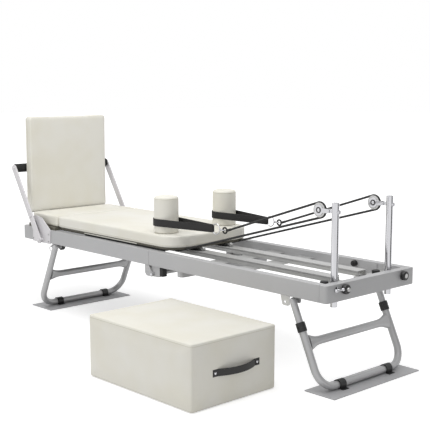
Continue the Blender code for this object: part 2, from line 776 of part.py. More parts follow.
def add_rails(assembly):
    for side in SIDES:
        plate, pin = leg_bracket(HEAD_PIVOT_X, HEAD_PIVOT_Z, HEAD_PIVOT_X - BRACKET_HALF_WIDTH,
                                 HEAD_PIVOT_X + BRACKET_HALF_WIDTH)
        rail = hollow_rail(SPLIT_FACE, HEAD_END_INNER - SEAT_GAP, open_at_end=True)
        additions = [plate, pin]
        if side == "near":
            additions.append(lock_plate())
        rail = joined(rail, *additions)
        if side == "far":
            rail = mirrored(rail, "Y")
        assembly.add(f"head_rail_{side}", rail, "head_frame", "satin_silver", smooth=False)

        plate, pin = leg_bracket(FOOT_PIVOT_X, FOOT_PIVOT_Z, LOCK_PIN_X - BRACKET_HALF_WIDTH,
                                 FOOT_PIVOT_X + BRACKET_HALF_WIDTH)
        pin_hole = rod((LOCK_PIN_X, -RAIL_OUTER, LOCK_PIN_Z), (LOCK_PIN_X, 0, LOCK_PIN_Z),
                       LOCK_PIN_RADIUS + RUNNING_GAP, SMALL_SIDES)
        plate = cut(plate, pin_hole)
        rail = hollow_rail(-FOOT_END_INNER + SEAT_GAP, -SPLIT_FACE, open_at_end=False)
        rail = joined(rail, plate, pin)
        if side == "far":
            rail = mirrored(rail, "Y")
        assembly.add(f"foot_rail_{side}", rail, "foot_frame", "satin_silver", smooth=False)


def end_rail_shell(inner):
    """Rounded rectangular tube across the head end, hollow inside."""
    radii = (0, END_CORNER, END_CORNER, 0)
    outline = rounded_rectangle((inner, -RAIL_OUTER), (HALF_LENGTH, RAIL_OUTER), radii)
    shell = prism(outline, RAIL_BOTTOM, RAIL_TOP, "Z")
    radii = (0, END_CORNER - TUBE_WALL, END_CORNER - TUBE_WALL, 0)
    outline = rounded_rectangle((inner + TUBE_WALL, -RAIL_OUTER + TUBE_WALL),
                                (HALF_LENGTH - TUBE_WALL, RAIL_OUTER - TUBE_WALL), radii)
    hollow = prism(outline, RAIL_BOTTOM + TUBE_WALL, RAIL_TOP - TUBE_WALL, "Z")
    return cut(shell, hollow)


def add_end_rails(assembly):
    cutters = []
    for side in SIDES:
        cutters.append(rod((POST_X, KNOB_Y[side], KNOB_Z),
                           (HALF_LENGTH + TUBE_WALL, KNOB_Y[side], KNOB_Z),
                           KNOB_STEM_RADIUS + RUNNING_GAP, SMALL_SIDES))
    cutters.append(rod((HALF_LENGTH - 2 * TUBE_WALL, POST_PIN_Y, POST_PIN_Z),
                       (HALF_LENGTH + TUBE_WALL, POST_PIN_Y, POST_PIN_Z),
                       POST_PIN_RADIUS + RUNNING_GAP, SMALL_SIDES))
    rail = cut(end_rail_shell(HEAD_END_INNER), *cutters)
    assembly.add("head_end_rail", rail, "head_frame", "satin_silver", smooth=False)

    cutters = []
    for sign in SIDES.values():
        cutters.append(rod((JUMP_PEG_X, sign * JUMP_PEG_Y, RAIL_TOP - 2 * TUBE_WALL),
                           (JUMP_PEG_X, sign * JUMP_PEG_Y, RAIL_TOP + TUBE_WALL),
                           JUMP_PEG_RADIUS + RUNNING_GAP))
    rail = cut(mirrored(end_rail_shell(FOOT_END_INNER), "X"), *cutters)
    assembly.add("foot_end_rail", rail, "foot_frame", "satin_silver", smooth=False)


def add_tracks(assembly):
    """Inverted channels with a grooved side that the carriage rollers run on."""
    lip = TRACK_TOP - TRACK_LIP
    half = TRACK_WIDTH / 2
    neck = half - TRACK_GROOVE
    hollow = neck - TUBE_WALL
    profile = [(half, TRACK_TOP), (half, lip), (neck, lip), (neck, lip - TRACK_GROOVE),
               (half, lip - TRACK_GROOVE), (half, TRACK_BOTTOM), (hollow, TRACK_BOTTOM), (hollow, lip)]
    profile = [(TRACK_CENTRE + across, z) for across, z in profile + [(-across, z) for across, z in profile[::-1]]]
    for side, sign in SIDES.items():
        outline = [(sign * y, z) for y, z in profile]
        assembly.add(f"head_track_{side}", prism(outline, SPLIT_FACE, TRACK_END, "X"),
                     "head_frame", "satin_silver", smooth=False)
        assembly.add(f"foot_track_{side}", prism(outline, -FOOT_END_INNER + SEAT_GAP, -SPLIT_FACE, "X"),
                     "foot_frame", "satin_silver", smooth=False)


def tie_plate(centre_x, length):
    return block((centre_x - length / 2, -TIE_HALF_WIDTH, TIE_TOP - TIE_THICKNESS),
                 (centre_x + length / 2, TIE_HALF_WIDTH, TIE_TOP))


def add_tie_plates(assembly):
    """Plates under the tracks, from rail to rail, and the cross beam under the head half."""
    assembly.add("head_tie_plate_inner", tie_plate(TIE_INNER_X, TIE_INNER_LENGTH),
                 "head_frame", "plate_grey", smooth=False)
    assembly.add("head_tie_plate_middle", tie_plate(TIE_MIDDLE_X, TIE_MIDDLE_LENGTH),
                 "head_frame", "plate_grey", smooth=False)
    assembly.add("foot_tie_plate", tie_plate(TIE_FOOT_X, TIE_FOOT_LENGTH),
                 "foot_frame", "plate_grey", smooth=False)
    start = HEAD_END_INNER - TIE_OUTER_LENGTH
    strip = HEAD_END_INNER - TIE_STRIP_LENGTH
    end = HEAD_END_INNER - SEAT_GAP
    outline = [(start, -TIE_HALF_WIDTH), (end, -TIE_HALF_WIDTH), (end, TIE_HALF_WIDTH),
               (start, TIE_HALF_WIDTH), (start, TIE_NOTCH_HALF), (strip, TIE_NOTCH_HALF),
               (strip, -TIE_NOTCH_HALF), (start, -TIE_NOTCH_HALF)]
    holes = []
    for sign in SIDES.values():
        holes.append(rod((POST_X, sign * POST_Y, TIE_TOP - 2 * TIE_THICKNESS),
                         (POST_X, sign * POST_Y, TIE_TOP + TIE_THICKNESS), POST_RADIUS + RUNNING_GAP))
    plate = cut(prism(outline, TIE_TOP - TIE_THICKNESS, TIE_TOP, "Z"), *holes)
    assembly.add("head_tie_plate_outer", plate, "head_frame", "plate_grey", smooth=False)

    low = (BEAM_X - BEAM_WIDTH / 2, -RAIL_OUTER + BEAM_SET_IN)
    high = (BEAM_X + BEAM_WIDTH / 2, RAIL_OUTER - BEAM_SET_IN)
    top = RAIL_BOTTOM - SEAT_GAP
    radius = BEAM_WIDTH / 2 - TUBE_WALL
    beam = prism(rounded_rectangle(low, high, (radius,) * 4), top - BEAM_HEIGHT, top, "Z")
    trough = prism(shrunk(rounded_rectangle(low, high, (radius,) * 4), TUBE_WALL),
                   top - BEAM_HEIGHT + TUBE_WALL, top + TUBE_WALL, "Z")
    assembly.add("head_cross_beam", cut(beam, trough), "head_frame", "satin_silver", smooth=False)


def knuckle_outline(corners, start, end, steps=10):
    """Corner points followed by an arc round the hinge pin."""
    return corners + outline_arc((HINGE_X, HINGE_Z), KNUCKLE_RADIUS, start, end, steps)


def add_fold_hinge(assembly):
    """Clevis and barrel under the foot half; lugs and the long pin under the head half."""
    top = RAIL_BOTTOM - SEAT_GAP
    low = HINGE_Z - KNUCKLE_RADIUS
    inner_face = LUG_INNER - SEAT_GAP
    bridge_low = HINGE_Z + KNUCKLE_RADIUS + 2 * SEAT_GAP
    ear_corners = [(-FOOT_EAR_LENGTH, low + HINGE_CHAMFER), (-FOOT_EAR_LENGTH + HINGE_CHAMFER, low)]
    ear_outline = knuckle_outline(ear_corners, -90, 90)
    ear_outline = ear_outline + [(-SPLIT_GAP, top), (-FOOT_EAR_LENGTH, top)]
    pieces = []
    for sign in SIDES.values():
        outer = sorted((sign * (RAIL_OUTER - SEAT_GAP), sign * (LUG_OUTER + SEAT_GAP)))
        inner = sorted((sign * inner_face, sign * (inner_face - EAR_THICKNESS)))
        bridge = sorted((sign * (RAIL_OUTER - SEAT_GAP), sign * (inner_face - EAR_THICKNESS)))
        pieces.append(prism(ear_outline, outer[0], outer[1], "Y"))
        pieces.append(prism(ear_outline, inner[0], inner[1], "Y"))
        pieces.append(block((-FOOT_EAR_LENGTH, bridge[0], bridge_low), (-SPLIT_GAP, bridge[1], top)))
    barrel_reach = inner_face - EAR_THICKNESS / 2
    barrel = rod((HINGE_X, -barrel_reach, HINGE_Z), (HINGE_X, barrel_reach, HINGE_Z),
                 KNUCKLE_RADIUS - SEAT_GAP)
    clevis = joined(barrel, *pieces)
    bore = rod((HINGE_X, -RAIL_OUTER - TUBE_WALL, HINGE_Z), (HINGE_X, RAIL_OUTER + TUBE_WALL, HINGE_Z),
               HINGE_PIN_RADIUS + RUNNING_GAP, SMALL_SIDES)
    assembly.add("foot_hinge", cut(clevis, bore), "foot_frame", "satin_silver", smooth=False)

    lug_end = HINGE_X + HEAD_LUG_LENGTH
    left = HINGE_X - KNUCKLE_RADIUS
    corners = [(lug_end - HINGE_CHAMFER, low), (lug_end, low + LUG_CHAMFER), (lug_end, top), (left, top)]
    lug_outline = corners + outline_arc((HINGE_X, HINGE_Z), KNUCKLE_RADIUS, 180, 270, 6)
    cap_face = RAIL_OUTER
    pieces = []
    for sign in SIDES.values():
        width = sorted((sign * LUG_INNER, sign * LUG_OUTER))
        pieces.append(prism(lug_outline, width[0], width[1], "Y"))
        pieces.append(block((lug_end - SEAT_GAP, width[0], low + LUG_CHAMFER),
                            (lug_end + BUMPER_LENGTH, width[1], top - BUMPER_DROP)))
        pieces.append(rod((HINGE_X, sign * cap_face, HINGE_Z),
                          (HINGE_X, sign * (cap_face + PIN_CAP_THICKNESS), HINGE_Z),
                          PIN_CAP_RADIUS, SMALL_SIDES))
    reach = cap_face + PIN_CAP_THICKNESS / 2
    pin = rod((HINGE_X, -reach, HINGE_Z), (HINGE_X, reach, HINGE_Z), HINGE_PIN_RADIUS, SMALL_SIDES)
    assembly.add("head_hinge", joined(pin, *pieces), "head_frame", "satin_silver", smooth=False)


def leg_placement(pivot_x, pivot_z, foot_x):
    """Turns a leg built straight down from zero into its splayed place, and gives its length."""
    run = foot_x - pivot_x
    drop = pivot_z - FOOT_TUBE_Z
    lean = Matrix.Rotation(-math.atan2(run, drop), 4, "Y")
    return Matrix.Translation((pivot_x, 0, pivot_z)) @ lean, math.hypot(run, drop)


def bent_frame(length, start, domed):
    """Path of a leg frame: down one side, round two bends and up the other."""
    path = [((0, -LEG_SPACING, -start), LEG_RADIUS)]
    if domed:
        for radius, rise in outline_arc((0, 0), LEG_RADIUS, 22.5, 90, 3):
            path.insert(0, ((0, -LEG_SPACING, rise - start), radius))
    centre = (-LEG_SPACING + LEG_BEND, -length + LEG_BEND)
    for y, z in outline_arc(centre, LEG_BEND, 180, 270, 7):
        path.append(((0, y, z), LEG_RADIUS))
    return path + [((x, -y, z), radius) for (x, y, z), radius in reversed(path)]


def crossbar(distance):
    """Oval bar between the leg tubes with flared ends, in the leg's own upright frame."""
    reach = LEG_SPACING - LEG_RADIUS / 2
    sections = [(reach - set_in, CROSSBAR_HALF_DEPTH * depth) for set_in, depth in CROSSBAR_TAPER]
    sections = sections + [(-y, depth) for y, depth in reversed(sections)]
    loops = []
    for y, depth in sections:
        loop = []
        for side in range(SMALL_SIDES):
            angle = 2 * math.pi * side / SMALL_SIDES
            loop.append((CROSSBAR_THICKNESS * math.cos(angle), y, -distance + depth * math.sin(angle)))
        loops.append(loop)
    return stitched(loops)


def add_head_leg(assembly):
    """Upper tubes on the pivots and a telescoping lower frame with its clamp collars."""
    placement, length = leg_placement(HEAD_PIVOT_X, HEAD_PIVOT_Z, HEAD_FOOT_X)
    for side, sign in SIDES.items():
        dome = outline_arc((0, 0), UPPER_TUBE_RADIUS, 90, 0, 5)
        profile = [(max(radius, 0.0), height) for radius, height in dome]
        profile.append((UPPER_TUBE_RADIUS, -UPPER_TUBE_LENGTH))
        tube = turned(profile, (0, sign * LEG_SPACING, 0), (0, 0, 1), SMALL_SIDES)
        hole = rod((0, sign * (LEG_SPACING - 2 * LEG_RADIUS), 0),
                   (0, sign * (LEG_SPACING + 2 * LEG_RADIUS), 0),
                   PIVOT_PIN_RADIUS + RUNNING_GAP, SMALL_SIDES)
        assembly.add(f"head_leg_tube_{side}", moved(cut(tube, hole), placement),
                     "head_leg", "leg_silver")
        collar = pipe((0, sign * LEG_SPACING, -COLLAR_START - COLLAR_LENGTH),
                      (0, sign * LEG_SPACING, -COLLAR_START), COLLAR_RADIUS, LEG_RADIUS + SEAT_GAP)
        assembly.add(f"leg_collar_{side}", moved(collar, placement), "head_leg_frame", "black_plastic")

    frame = swept_tube(bent_frame(length, LOWER_TUBE_START, domed=False))
    frame = joined(frame, crossbar(CROSSBAR_DISTANCE_HEAD))
    bores = []
    for sign in SIDES.values():
        bores.append(rod((0, sign * LEG_SPACING, -LOWER_TUBE_START - LOWER_BORE_DEPTH),
                         (0, sign * LEG_SPACING, -LOWER_TUBE_START + LEG_RADIUS),
                         UPPER_TUBE_RADIUS + SEAT_GAP, SMALL_SIDES))
    assembly.add("head_leg_frame", moved(cut(frame, *bores), placement), "head_leg_frame", "leg_silver")


def add_foot_leg(assembly):
    placement, length = leg_placement(FOOT_PIVOT_X, FOOT_PIVOT_Z, FOOT_FOOT_X)
    frame = swept_tube(bent_frame(length, 0.0, domed=True))
    holes = []
    for sign in SIDES.values():
        holes.append(rod((0, sign * (LEG_SPACING - 2 * LEG_RADIUS), 0),
                         (0, sign * (LEG_SPACING + 2 * LEG_RADIUS), 0),
                         PIVOT_PIN_RADIUS + RUNNING_GAP, SMALL_SIDES))
    frame = cut(joined(frame, crossbar(CROSSBAR_DISTANCE_FOOT)), *holes)
    assembly.add("foot_leg_frame", moved(frame, placement), "foot_leg", "leg_silver")

    outboard = -LEG_SPACING
    pin = rod((LOCK_PIN_X, outboard, LOCK_PIN_Z),
              (LOCK_PIN_X, -RAIL_INNER + 3 * BRACKET_THICKNESS, LOCK_PIN_Z), LOCK_PIN_RADIUS, SMALL_SIDES)
    ring = ring_of_wire((LOCK_PIN_X, outboard, LOCK_PIN_Z - LOCK_RING_RADIUS + LOCK_RING_WIRE),
                        LOCK_RING_RADIUS, LOCK_RING_WIRE, (0, 1, 0), SMALL_SIDES)
    assembly.add("foot_leg_lock_pin", joined(pin, ring), "foot_leg_lock", "bright_steel")

    seat = -RAIL_INNER + BRACKET_THICKNESS + SEAT_GAP
    back = LEG_KNOB_HUB_DEPTH
    profile = [(0, 0), (LEG_KNOB_HUB, 0), (LEG_KNOB_HUB, back), (LEG_KNOB_RADIUS - KNOB_BEVEL, back),
               (LEG_KNOB_RADIUS, back + KNOB_BEVEL), (LEG_KNOB_RADIUS, LEG_KNOB_THICKNESS - KNOB_BEVEL),
               (LEG_KNOB_RADIUS - KNOB_BEVEL, LEG_KNOB_THICKNESS), (0, LEG_KNOB_THICKNESS)]
    knob = turned(profile, (FOOT_PIVOT_X, seat, FOOT_PIVOT_Z), (0, 1, 0))
    assembly.add("foot_leg_knob", knob, "foot_leg_knob", "black_plastic")


def floor_plate(centre_x, length, width, tube_x):
    """Flat plate on the floor with two clips that hold it to the leg frame's foot tube."""
    plate = block((centre_x - length / 2, -width / 2, 0), (centre_x + length / 2, width / 2, PLATE_THICKNESS))
    bore = LEG_RADIUS + RUNNING_GAP
    outer = bore + CLIP_WALL
    arch = [(tube_x + outer, PLATE_THICKNESS / 2)]
    arch = arch + outline_arc((tube_x, FOOT_TUBE_Z), outer, 0, 180, 12)
    arch.append((tube_x - outer, PLATE_THICKNESS / 2))
    clips = []
    for sign in SIDES.values():
        centre = sign * CLIP_Y
        clips.append(prism(arch, centre - CLIP_WIDTH / 2, centre + CLIP_WIDTH / 2, "Y"))
    plate = joined(plate, *clips)
    tunnel = rod((tube_x, -width, FOOT_TUBE_Z), (tube_x, width, FOOT_TUBE_Z), bore)
    return cut(plate, tunnel)


def add_floor_plates(assembly):
    assembly.add("head_floor_plate",
                 floor_plate(HEAD_PLATE_X, HEAD_PLATE_LENGTH, HEAD_PLATE_WIDTH, HEAD_FOOT_X),
                 "head_plate", "plate_grey", smooth=False)
    assembly.add("foot_floor_plate",
                 floor_plate(FOOT_PLATE_X, FOOT_PLATE_LENGTH, FOOT_PLATE_WIDTH, FOOT_FOOT_X),
                 "foot_plate", "plate_grey", smooth=False)


def rope_post(y):
    """Hollow post with a closed top and the eye bolt that carries the pulley block."""
    post = rod((POST_X, y, POST_BOTTOM), (POST_X, y, POST_TOP), POST_RADIUS)
    bolt = rod((SWIVEL_X + TONGUE_HALF_HEIGHT, y, PULLEY_Z),
               (POST_X + POST_RADIUS + EYEBOLT_TAIL, y, PULLEY_Z), EYEBOLT_RADIUS, SMALL_SIDES)
    nut = rod((POST_X + POST_RADIUS - POST_WALL / 2, y, PULLEY_Z),
              (POST_X + POST_RADIUS + EYEBOLT_NUT, y, PULLEY_Z), EYEBOLT_NUT_RADIUS, 6)
    bore = rod((POST_X, y, POST_BOTTOM - POST_WALL), (POST_X, y, POST_TOP - 2 * POST_WALL),
               POST_RADIUS - POST_WALL)
    post = joined(cut(post, bore), bolt, nut)
    outline = outline_arc((SWIVEL_X, PULLEY_Z), TONGUE_HALF_HEIGHT, 90, 270, 6)
    end = POST_X - POST_RADIUS + POST_WALL / 2
    outline = outline + [(end, PULLEY_Z - TONGUE_HALF_HEIGHT), (end, PULLEY_Z + TONGUE_HALF_HEIGHT)]
    tongue = prism(outline, y - TONGUE_HALF_WIDTH, y + TONGUE_HALF_WIDTH, "Y")
    eye = rod((SWIVEL_X, y - POST_RADIUS, PULLEY_Z), (SWIVEL_X, y + POST_RADIUS, PULLEY_Z),
              SWIVEL_PIN_RADIUS + RUNNING_GAP, SMALL_SIDES)
    return joined(post, cut(tongue, eye))


def pulley_block(y):
    """Two cheek plates held together by the wheel's axle and the swivel pin."""
    wheel = (PULLEY_X, PULLEY_Z)
    tail_x = SWIVEL_X + TONGUE_HALF_HEIGHT
    tail = CHEEK_RADIUS * 0.42
    start = math.degrees(math.asin(tail / CHEEK_RADIUS))
    outline = outline_arc(wheel, CHEEK_RADIUS, start, 360 - start, 18)
    outline = outline + [(tail_x, PULLEY_Z - tail), (tail_x, PULLEY_Z + tail)]
    inner = PULLEY_WIDTH / 2 + RUNNING_GAP
    outer = inner + CHEEK_THICKNESS
    cheeks = [prism(outline, y - outer, y - inner, "Y"), prism(outline, y + inner, y + outer, "Y")]
    head = outer + CHEEK_THICKNESS * 0.6
    axle = rod((PULLEY_X, y - head, PULLEY_Z), (PULLEY_X, y + head, PULLEY_Z),
               PULLEY_AXLE_RADIUS, SMALL_SIDES)
    pin = rod((SWIVEL_X, y - head, PULLEY_Z), (SWIVEL_X, y + head, PULLEY_Z),
              SWIVEL_PIN_RADIUS, SMALL_SIDES)
    return joined(axle, pin, *cheeks)


def pulley_wheel(y):
    half = PULLEY_WIDTH / 2
    bore = PULLEY_AXLE_RADIUS + RUNNING_GAP
    lip = half * 0.74
    bed = half * 0.46
    profile = [(bore, -half), (PULLEY_RADIUS, -half), (PULLEY_RADIUS, -lip), (PULLEY_GROOVE_RADIUS, -bed),
               (PULLEY_GROOVE_RADIUS, bed), (PULLEY_RADIUS, lip), (PULLEY_RADIUS, half), (bore, half)]
    return turned(profile, (PULLEY_X, y, PULLEY_Z), (0, 1, 0), 32, ring=True)


def post_knob(y, post_y):
    """Clamp knob on a stem that reaches the post, or ends inside the end rail where it would miss it."""
    nearest = max(abs(y - post_y) - KNOB_STEM_RADIUS, 0.0)
    if nearest < POST_RADIUS:
        tip = POST_X + math.sqrt(POST_RADIUS ** 2 - nearest ** 2) + SEAT_GAP
    else:
        tip = HEAD_END_INNER + 2 * TUBE_WALL
    face = HALF_LENGTH + SEAT_GAP - tip
    rim = face + KNOB_RIM
    flat = KNOB_RADIUS - KNOB_BEVEL
    profile = [(0, 0), (KNOB_STEM_RADIUS, 0), (KNOB_STEM_RADIUS, face), (flat, face),
               (KNOB_RADIUS, face + KNOB_BEVEL), (KNOB_RADIUS, rim - KNOB_BEVEL), (flat, rim),
               (KNOB_CAP_RADIUS, rim), (KNOB_CAP_RADIUS, face + KNOB_DEPTH), (0, face + KNOB_DEPTH)]
    return turned(profile, (tip, y, KNOB_Z), (1, 0, 0))


def add_posts(assembly):
    for side, sign in SIDES.items():
        y = sign * POST_Y
        assembly.add(f"post_{side}", rope_post(y), f"post_{side}", "bright_steel")
        assembly.add(f"pulley_block_{side}", pulley_block(y), f"pulley_block_{side}", "bright_steel")
        assembly.add(f"pulley_wheel_{side}", pulley_wheel(y), f"pulley_wheel_{side}", "light_silver")
        assembly.add(f"post_knob_{side}", post_knob(KNOB_Y[side], y), f"post_knob_{side}", "black_plastic")

    handle_x = HALF_LENGTH + POST_PIN_REACH
    stem = turned([(POST_PIN_RADIUS, -5 * TUBE_WALL), (POST_PIN_RADIUS, SEAT_GAP),
                   (POST_PIN_WASHER, SEAT_GAP), (POST_PIN_WASHER, POST_PIN_WASHER_THICKNESS),
                   (POST_PIN_RADIUS, POST_PIN_WASHER_THICKNESS), (POST_PIN_RADIUS, POST_PIN_REACH)],
                  (HALF_LENGTH, POST_PIN_Y, POST_PIN_Z), (1, 0, 0), SMALL_SIDES)
    low = POST_PIN_Y - POST_PIN_HANDLE / 2
    high = POST_PIN_Y + POST_PIN_HANDLE / 2
    bar = rod((handle_x, low, POST_PIN_Z), (handle_x, high, POST_PIN_Z), POST_PIN_BAR, SMALL_SIDES)
    balls = [ball((handle_x, y, POST_PIN_Z), POST_PIN_BALL) for y in (low, high)]
    assembly.add("post_lock_pin", joined(stem, bar, *balls), "post_lock", "bright_steel")


def add_platform(assembly):
    board = block((PLATFORM_START, -PLATFORM_HALF_WIDTH, PLATFORM_BOTTOM),
                  (PLATFORM_END, PLATFORM_HALF_WIDTH, PLATFORM_TOP))
    assembly.add("platform_board", board, "foot_frame", "board_grey", smooth=False)
    radii = (PAD_FOOT_CORNER, PAD_FOOT_CORNER / 3, PAD_FOOT_CORNER / 3, PAD_FOOT_CORNER)
    outline = rounded_rectangle((PLATFORM_START, -PAD_HALF_WIDTH), (PLATFORM_END, PAD_HALF_WIDTH), radii,
                                steps=5, side_points=3, draw_in=SIDE_DRAW)
    pad = cushion(outline, PLATFORM_TOP + SEAT_GAP, PAD_TOP, PAD_CROWN, PAD_EDGE)
    assembly.add("platform_pad", pad, "foot_frame", "cream_leather")


def carriage_ear(y, low_z):
    ear = block((CARRIAGE_BASE_END - EAR_AHEAD_OF_AXLE, y - EAR_PLATE / 2, low_z),
                (HEAD_AXLE_X + EAR_AHEAD_OF_AXLE, y + EAR_PLATE / 2, CARRIAGE_BASE_TOP))
    hole = rod((HEAD_AXLE_X, y - EAR_PLATE, AXLE_Z), (HEAD_AXLE_X, y + EAR_PLATE, AXLE_Z),
               AXLE_RADIUS + SEAT_GAP, SMALL_SIDES)
    return cut(ear, hole)


def add_carriage_base(assembly):
    """Board with axle ears at the head end, a slot for the foot axle, rope cleats and spring anchors."""
    board = block((CARRIAGE_BASE_START, -CARRIAGE_BASE_HALF_WIDTH, CARRIAGE_BASE_BOTTOM),
                  (CARRIAGE_BASE_END, CARRIAGE_BASE_HALF_WIDTH, CARRIAGE_BASE_TOP))
    additions = []
    cutters = []
    overlap = CARRIAGE_BASE_BOTTOM + SEAT_GAP
    roller_gap = EAR_PLATE / 2 + RUNNING_GAP
    for sign in SIDES.values():
        centre = sign * TRACK_CENTRE
        for edge in (-1, 1):
            y = centre + edge * (ROLLER_LENGTH / 2 + roller_gap)
            additions.append(carriage_ear(y, AXLE_Z - EAR_BELOW_AXLE))
        cleat_y = sign * ROPE_Y
        additions.append(block((CLEAT_X, cleat_y - ANCHOR_HALF_WIDTH, ANCHOR_BOTTOM),
                               (CLEAT_X + CLEAT_LENGTH, cleat_y + ANCHOR_HALF_WIDTH, overlap)))
        spring_y = sign * SPRING_Y
        additions.append(block((SPRING_END_X, spring_y - ANCHOR_HALF_WIDTH, ANCHOR_BOTTOM),
                               (SPRING_END_X + SPRING_BLOCK_LENGTH, spring_y + ANCHOR_HALF_WIDTH, overlap)))
        pocket = ROLLER_RADIUS + 2 * BOARD_CLEARANCE
        half = ROLLER_LENGTH / 2 + 2 * BOARD_CLEARANCE
        cutters.append(block((FOOT_AXLE_X - pocket, centre - half, CARRIAGE_BASE_BOTTOM - TUBE_WALL),
                             (FOOT_AXLE_X + pocket, centre + half, CARRIAGE_BASE_TOP + TUBE_WALL)))
        cutters.append(rod((REST_X, sign * REST_Y, CARRIAGE_BASE_BOTTOM - TUBE_WALL),
                           (REST_X, sign * REST_Y, CARRIAGE_BASE_TOP + TUBE_WALL),
                           REST_PEG_RADIUS + RUNNING_GAP, SMALL_SIDES))
    slot = AXLE_RADIUS + RUNNING_GAP
    cutters.append(block((FOOT_AXLE_X - slot, -AXLE_HALF_LENGTH - BOARD_CLEARANCE, 0),
                         (FOOT_AXLE_X + slot, AXLE_HALF_LENGTH + BOARD_CLEARANCE, AXLE_Z + slot)))
    base = cut(joined(board, *additions), *cutters)
    assembly.add("carriage_base", base, "carriage", "board_grey", smooth=False)


def add_carriage_pad(assembly):
    radii = (PAD_FOOT_CORNER / 3, PAD_HEAD_CORNER, PAD_HEAD_CORNER, PAD_FOOT_CORNER / 3)
    outline = rounded_rectangle((CARRIAGE_PAD_START, -PAD_HALF_WIDTH), (CARRIAGE_PAD_END, PAD_HALF_WIDTH),
                                radii, steps=7, side_points=4, draw_in=SIDE_DRAW)
    pad = cushion(outline, CARRIAGE_BASE_TOP + SEAT_GAP, PAD_TOP, PAD_CROWN, PAD_EDGE)
    holes = []
    for sign in SIDES.values():
        holes.append(rod((REST_X, sign * REST_Y, CARRIAGE_BASE_TOP - TUBE_WALL),
                         (REST_X, sign * REST_Y, PAD_TOP + TUBE_WALL),
                         REST_PEG_RADIUS + RUNNING_GAP, SMALL_SIDES))
    assembly.add("carriage_pad", cut(pad, *holes), "carriage", "cream_leather")


def add_rollers(assembly):
    inner = TRACK_CENTRE - ROLLER_LENGTH / 2
    outer = TRACK_CENTRE + ROLLER_LENGTH / 2
    steps = [(AXLE_RADIUS, -AXLE_HALF_LENGTH), (AXLE_RADIUS, -outer), (ROLLER_RADIUS, -outer),
             (ROLLER_RADIUS, -inner), (AXLE_RADIUS, -inner), (AXLE_RADIUS, inner),
             (ROLLER_RADIUS, inner), (ROLLER_RADIUS, outer), (AXLE_RADIUS, outer),
             (AXLE_RADIUS, AXLE_HALF_LENGTH)]
    for end, x in (("head", HEAD_AXLE_X), ("foot", FOOT_AXLE_X)):
        rollers = turned(steps, (x, 0, AXLE_Z), (0, 1, 0), SMALL_SIDES)
        assembly.add(f"{end}_rollers", rollers, f"{end}_rollers", "black_plastic")


def add_springs(assembly):
    for side, sign in SIDES.items():
        y = sign * SPRING_Y
        spring = pipe((-FOOT_END_INNER + SEAT_GAP, y, SPRING_Z), (SPRING_END_X - SEAT_GAP, y, SPRING_Z),
                      SPRING_RADIUS, SPRING_RADIUS - SPRING_WIRE, SMALL_SIDES)
        assembly.add(f"spring_{side}", spring, "carriage", "bright_steel")


def add_shoulder_rests(assembly):
    for side, sign in SIDES.items():
        low = REST_BOTTOM
        high = REST_BOTTOM + REST_HEIGHT
        profile = [(0, REST_PEG_BOTTOM), (REST_PEG_RADIUS, REST_PEG_BOTTOM), (REST_PEG_RADIUS, low),
                   (REST_RADIUS - REST_EDGE / 2, low), (REST_RADIUS - REST_BULGE, low + REST_EDGE / 2),
                   (REST_RADIUS, (low + high) / 2), (REST_RADIUS - REST_BULGE, high - REST_EDGE),
                   (REST_RADIUS - REST_EDGE * 0.35, high - REST_EDGE * 0.3),
                   (REST_RADIUS - REST_EDGE, high - REST_CROWN), (REST_RADIUS * 0.5, high), (0, high)]
        rest = turned(profile, (REST_X, sign * REST_Y, 0), (0, 0, 1), 32)
        assembly.add(f"shoulder_rest_{side}", rest, f"shoulder_rest_{side}", "cream_leather")


def strap_outline(sign, clearance, tip_x):
    """Loop round a shoulder rest that runs on to a tip in line with the rope."""
    radius = REST_RADIUS + clearance
    centre = (REST_X, sign * REST_Y)
    tip = (tip_x, sign * ROPE_Y)
    run = (tip[0] - centre[0], tip[1] - centre[1])
    heading = math.degrees(math.atan2(run[1], run[0]))
    half_tip = STRAP_TIP_HALF + clearance
    spread = math.degrees(math.acos((radius - half_tip) / math.hypot(*run)))
    arc = outline_arc(centre, radius, heading + spread, heading + 360 - spread, 26)
    along = math.radians(heading)
    side_x = -math.sin(along) * half_tip
    side_y = math.cos(along) * half_tip
    return arc + [(tip[0] - side_x, tip[1] - side_y), (tip[0] + side_x, tip[1] + side_y)]


def add_straps(assembly):
    for side, sign in SIDES.items():
        outer = strap_outline(sign, 2 * SEAT_GAP + STRAP_THICKNESS, STRAP_TIP_X)
        inner = strap_outline(sign, 2 * SEAT_GAP, STRAP_TIP_X - STRAP_THICKNESS)
        band = prism(outer, STRAP_LOW, STRAP_LOW + STRAP_HEIGHT, "Z")
        hollow = prism(inner, STRAP_LOW - STRAP_HEIGHT, STRAP_LOW + 2 * STRAP_HEIGHT, "Z")
        assembly.add(f"strap_{side}", cut(band, hollow), "carriage", "black_webbing", smooth=False)
        y = sign * ROPE_Y
        ring = ring_of_wire((RING_X, y, RING_Z), RING_RADIUS, RING_WIRE, (0, 1, 0))
        edge = RING_X + RING_RADIUS
        shank = rod((edge, y, RING_Z), (edge + RING_SHANK_LENGTH, y, RING_Z), 2 * RING_WIRE, SMALL_SIDES)
        hook = ring_of_wire((HOOK_X, y, RING_Z), HOOK_RADIUS, HOOK_WIRE, (0, 0, 1))
        assembly.add(f"strap_ring_{side}", joined(ring, shank, hook), "carriage", "bright_steel")


def straight_run(start, end, count):
    points = []
    for step in range(count):
        share = step / count
        points.append(tuple(start[axis] + (end[axis] - start[axis]) * share for axis in range(2)))
    return points


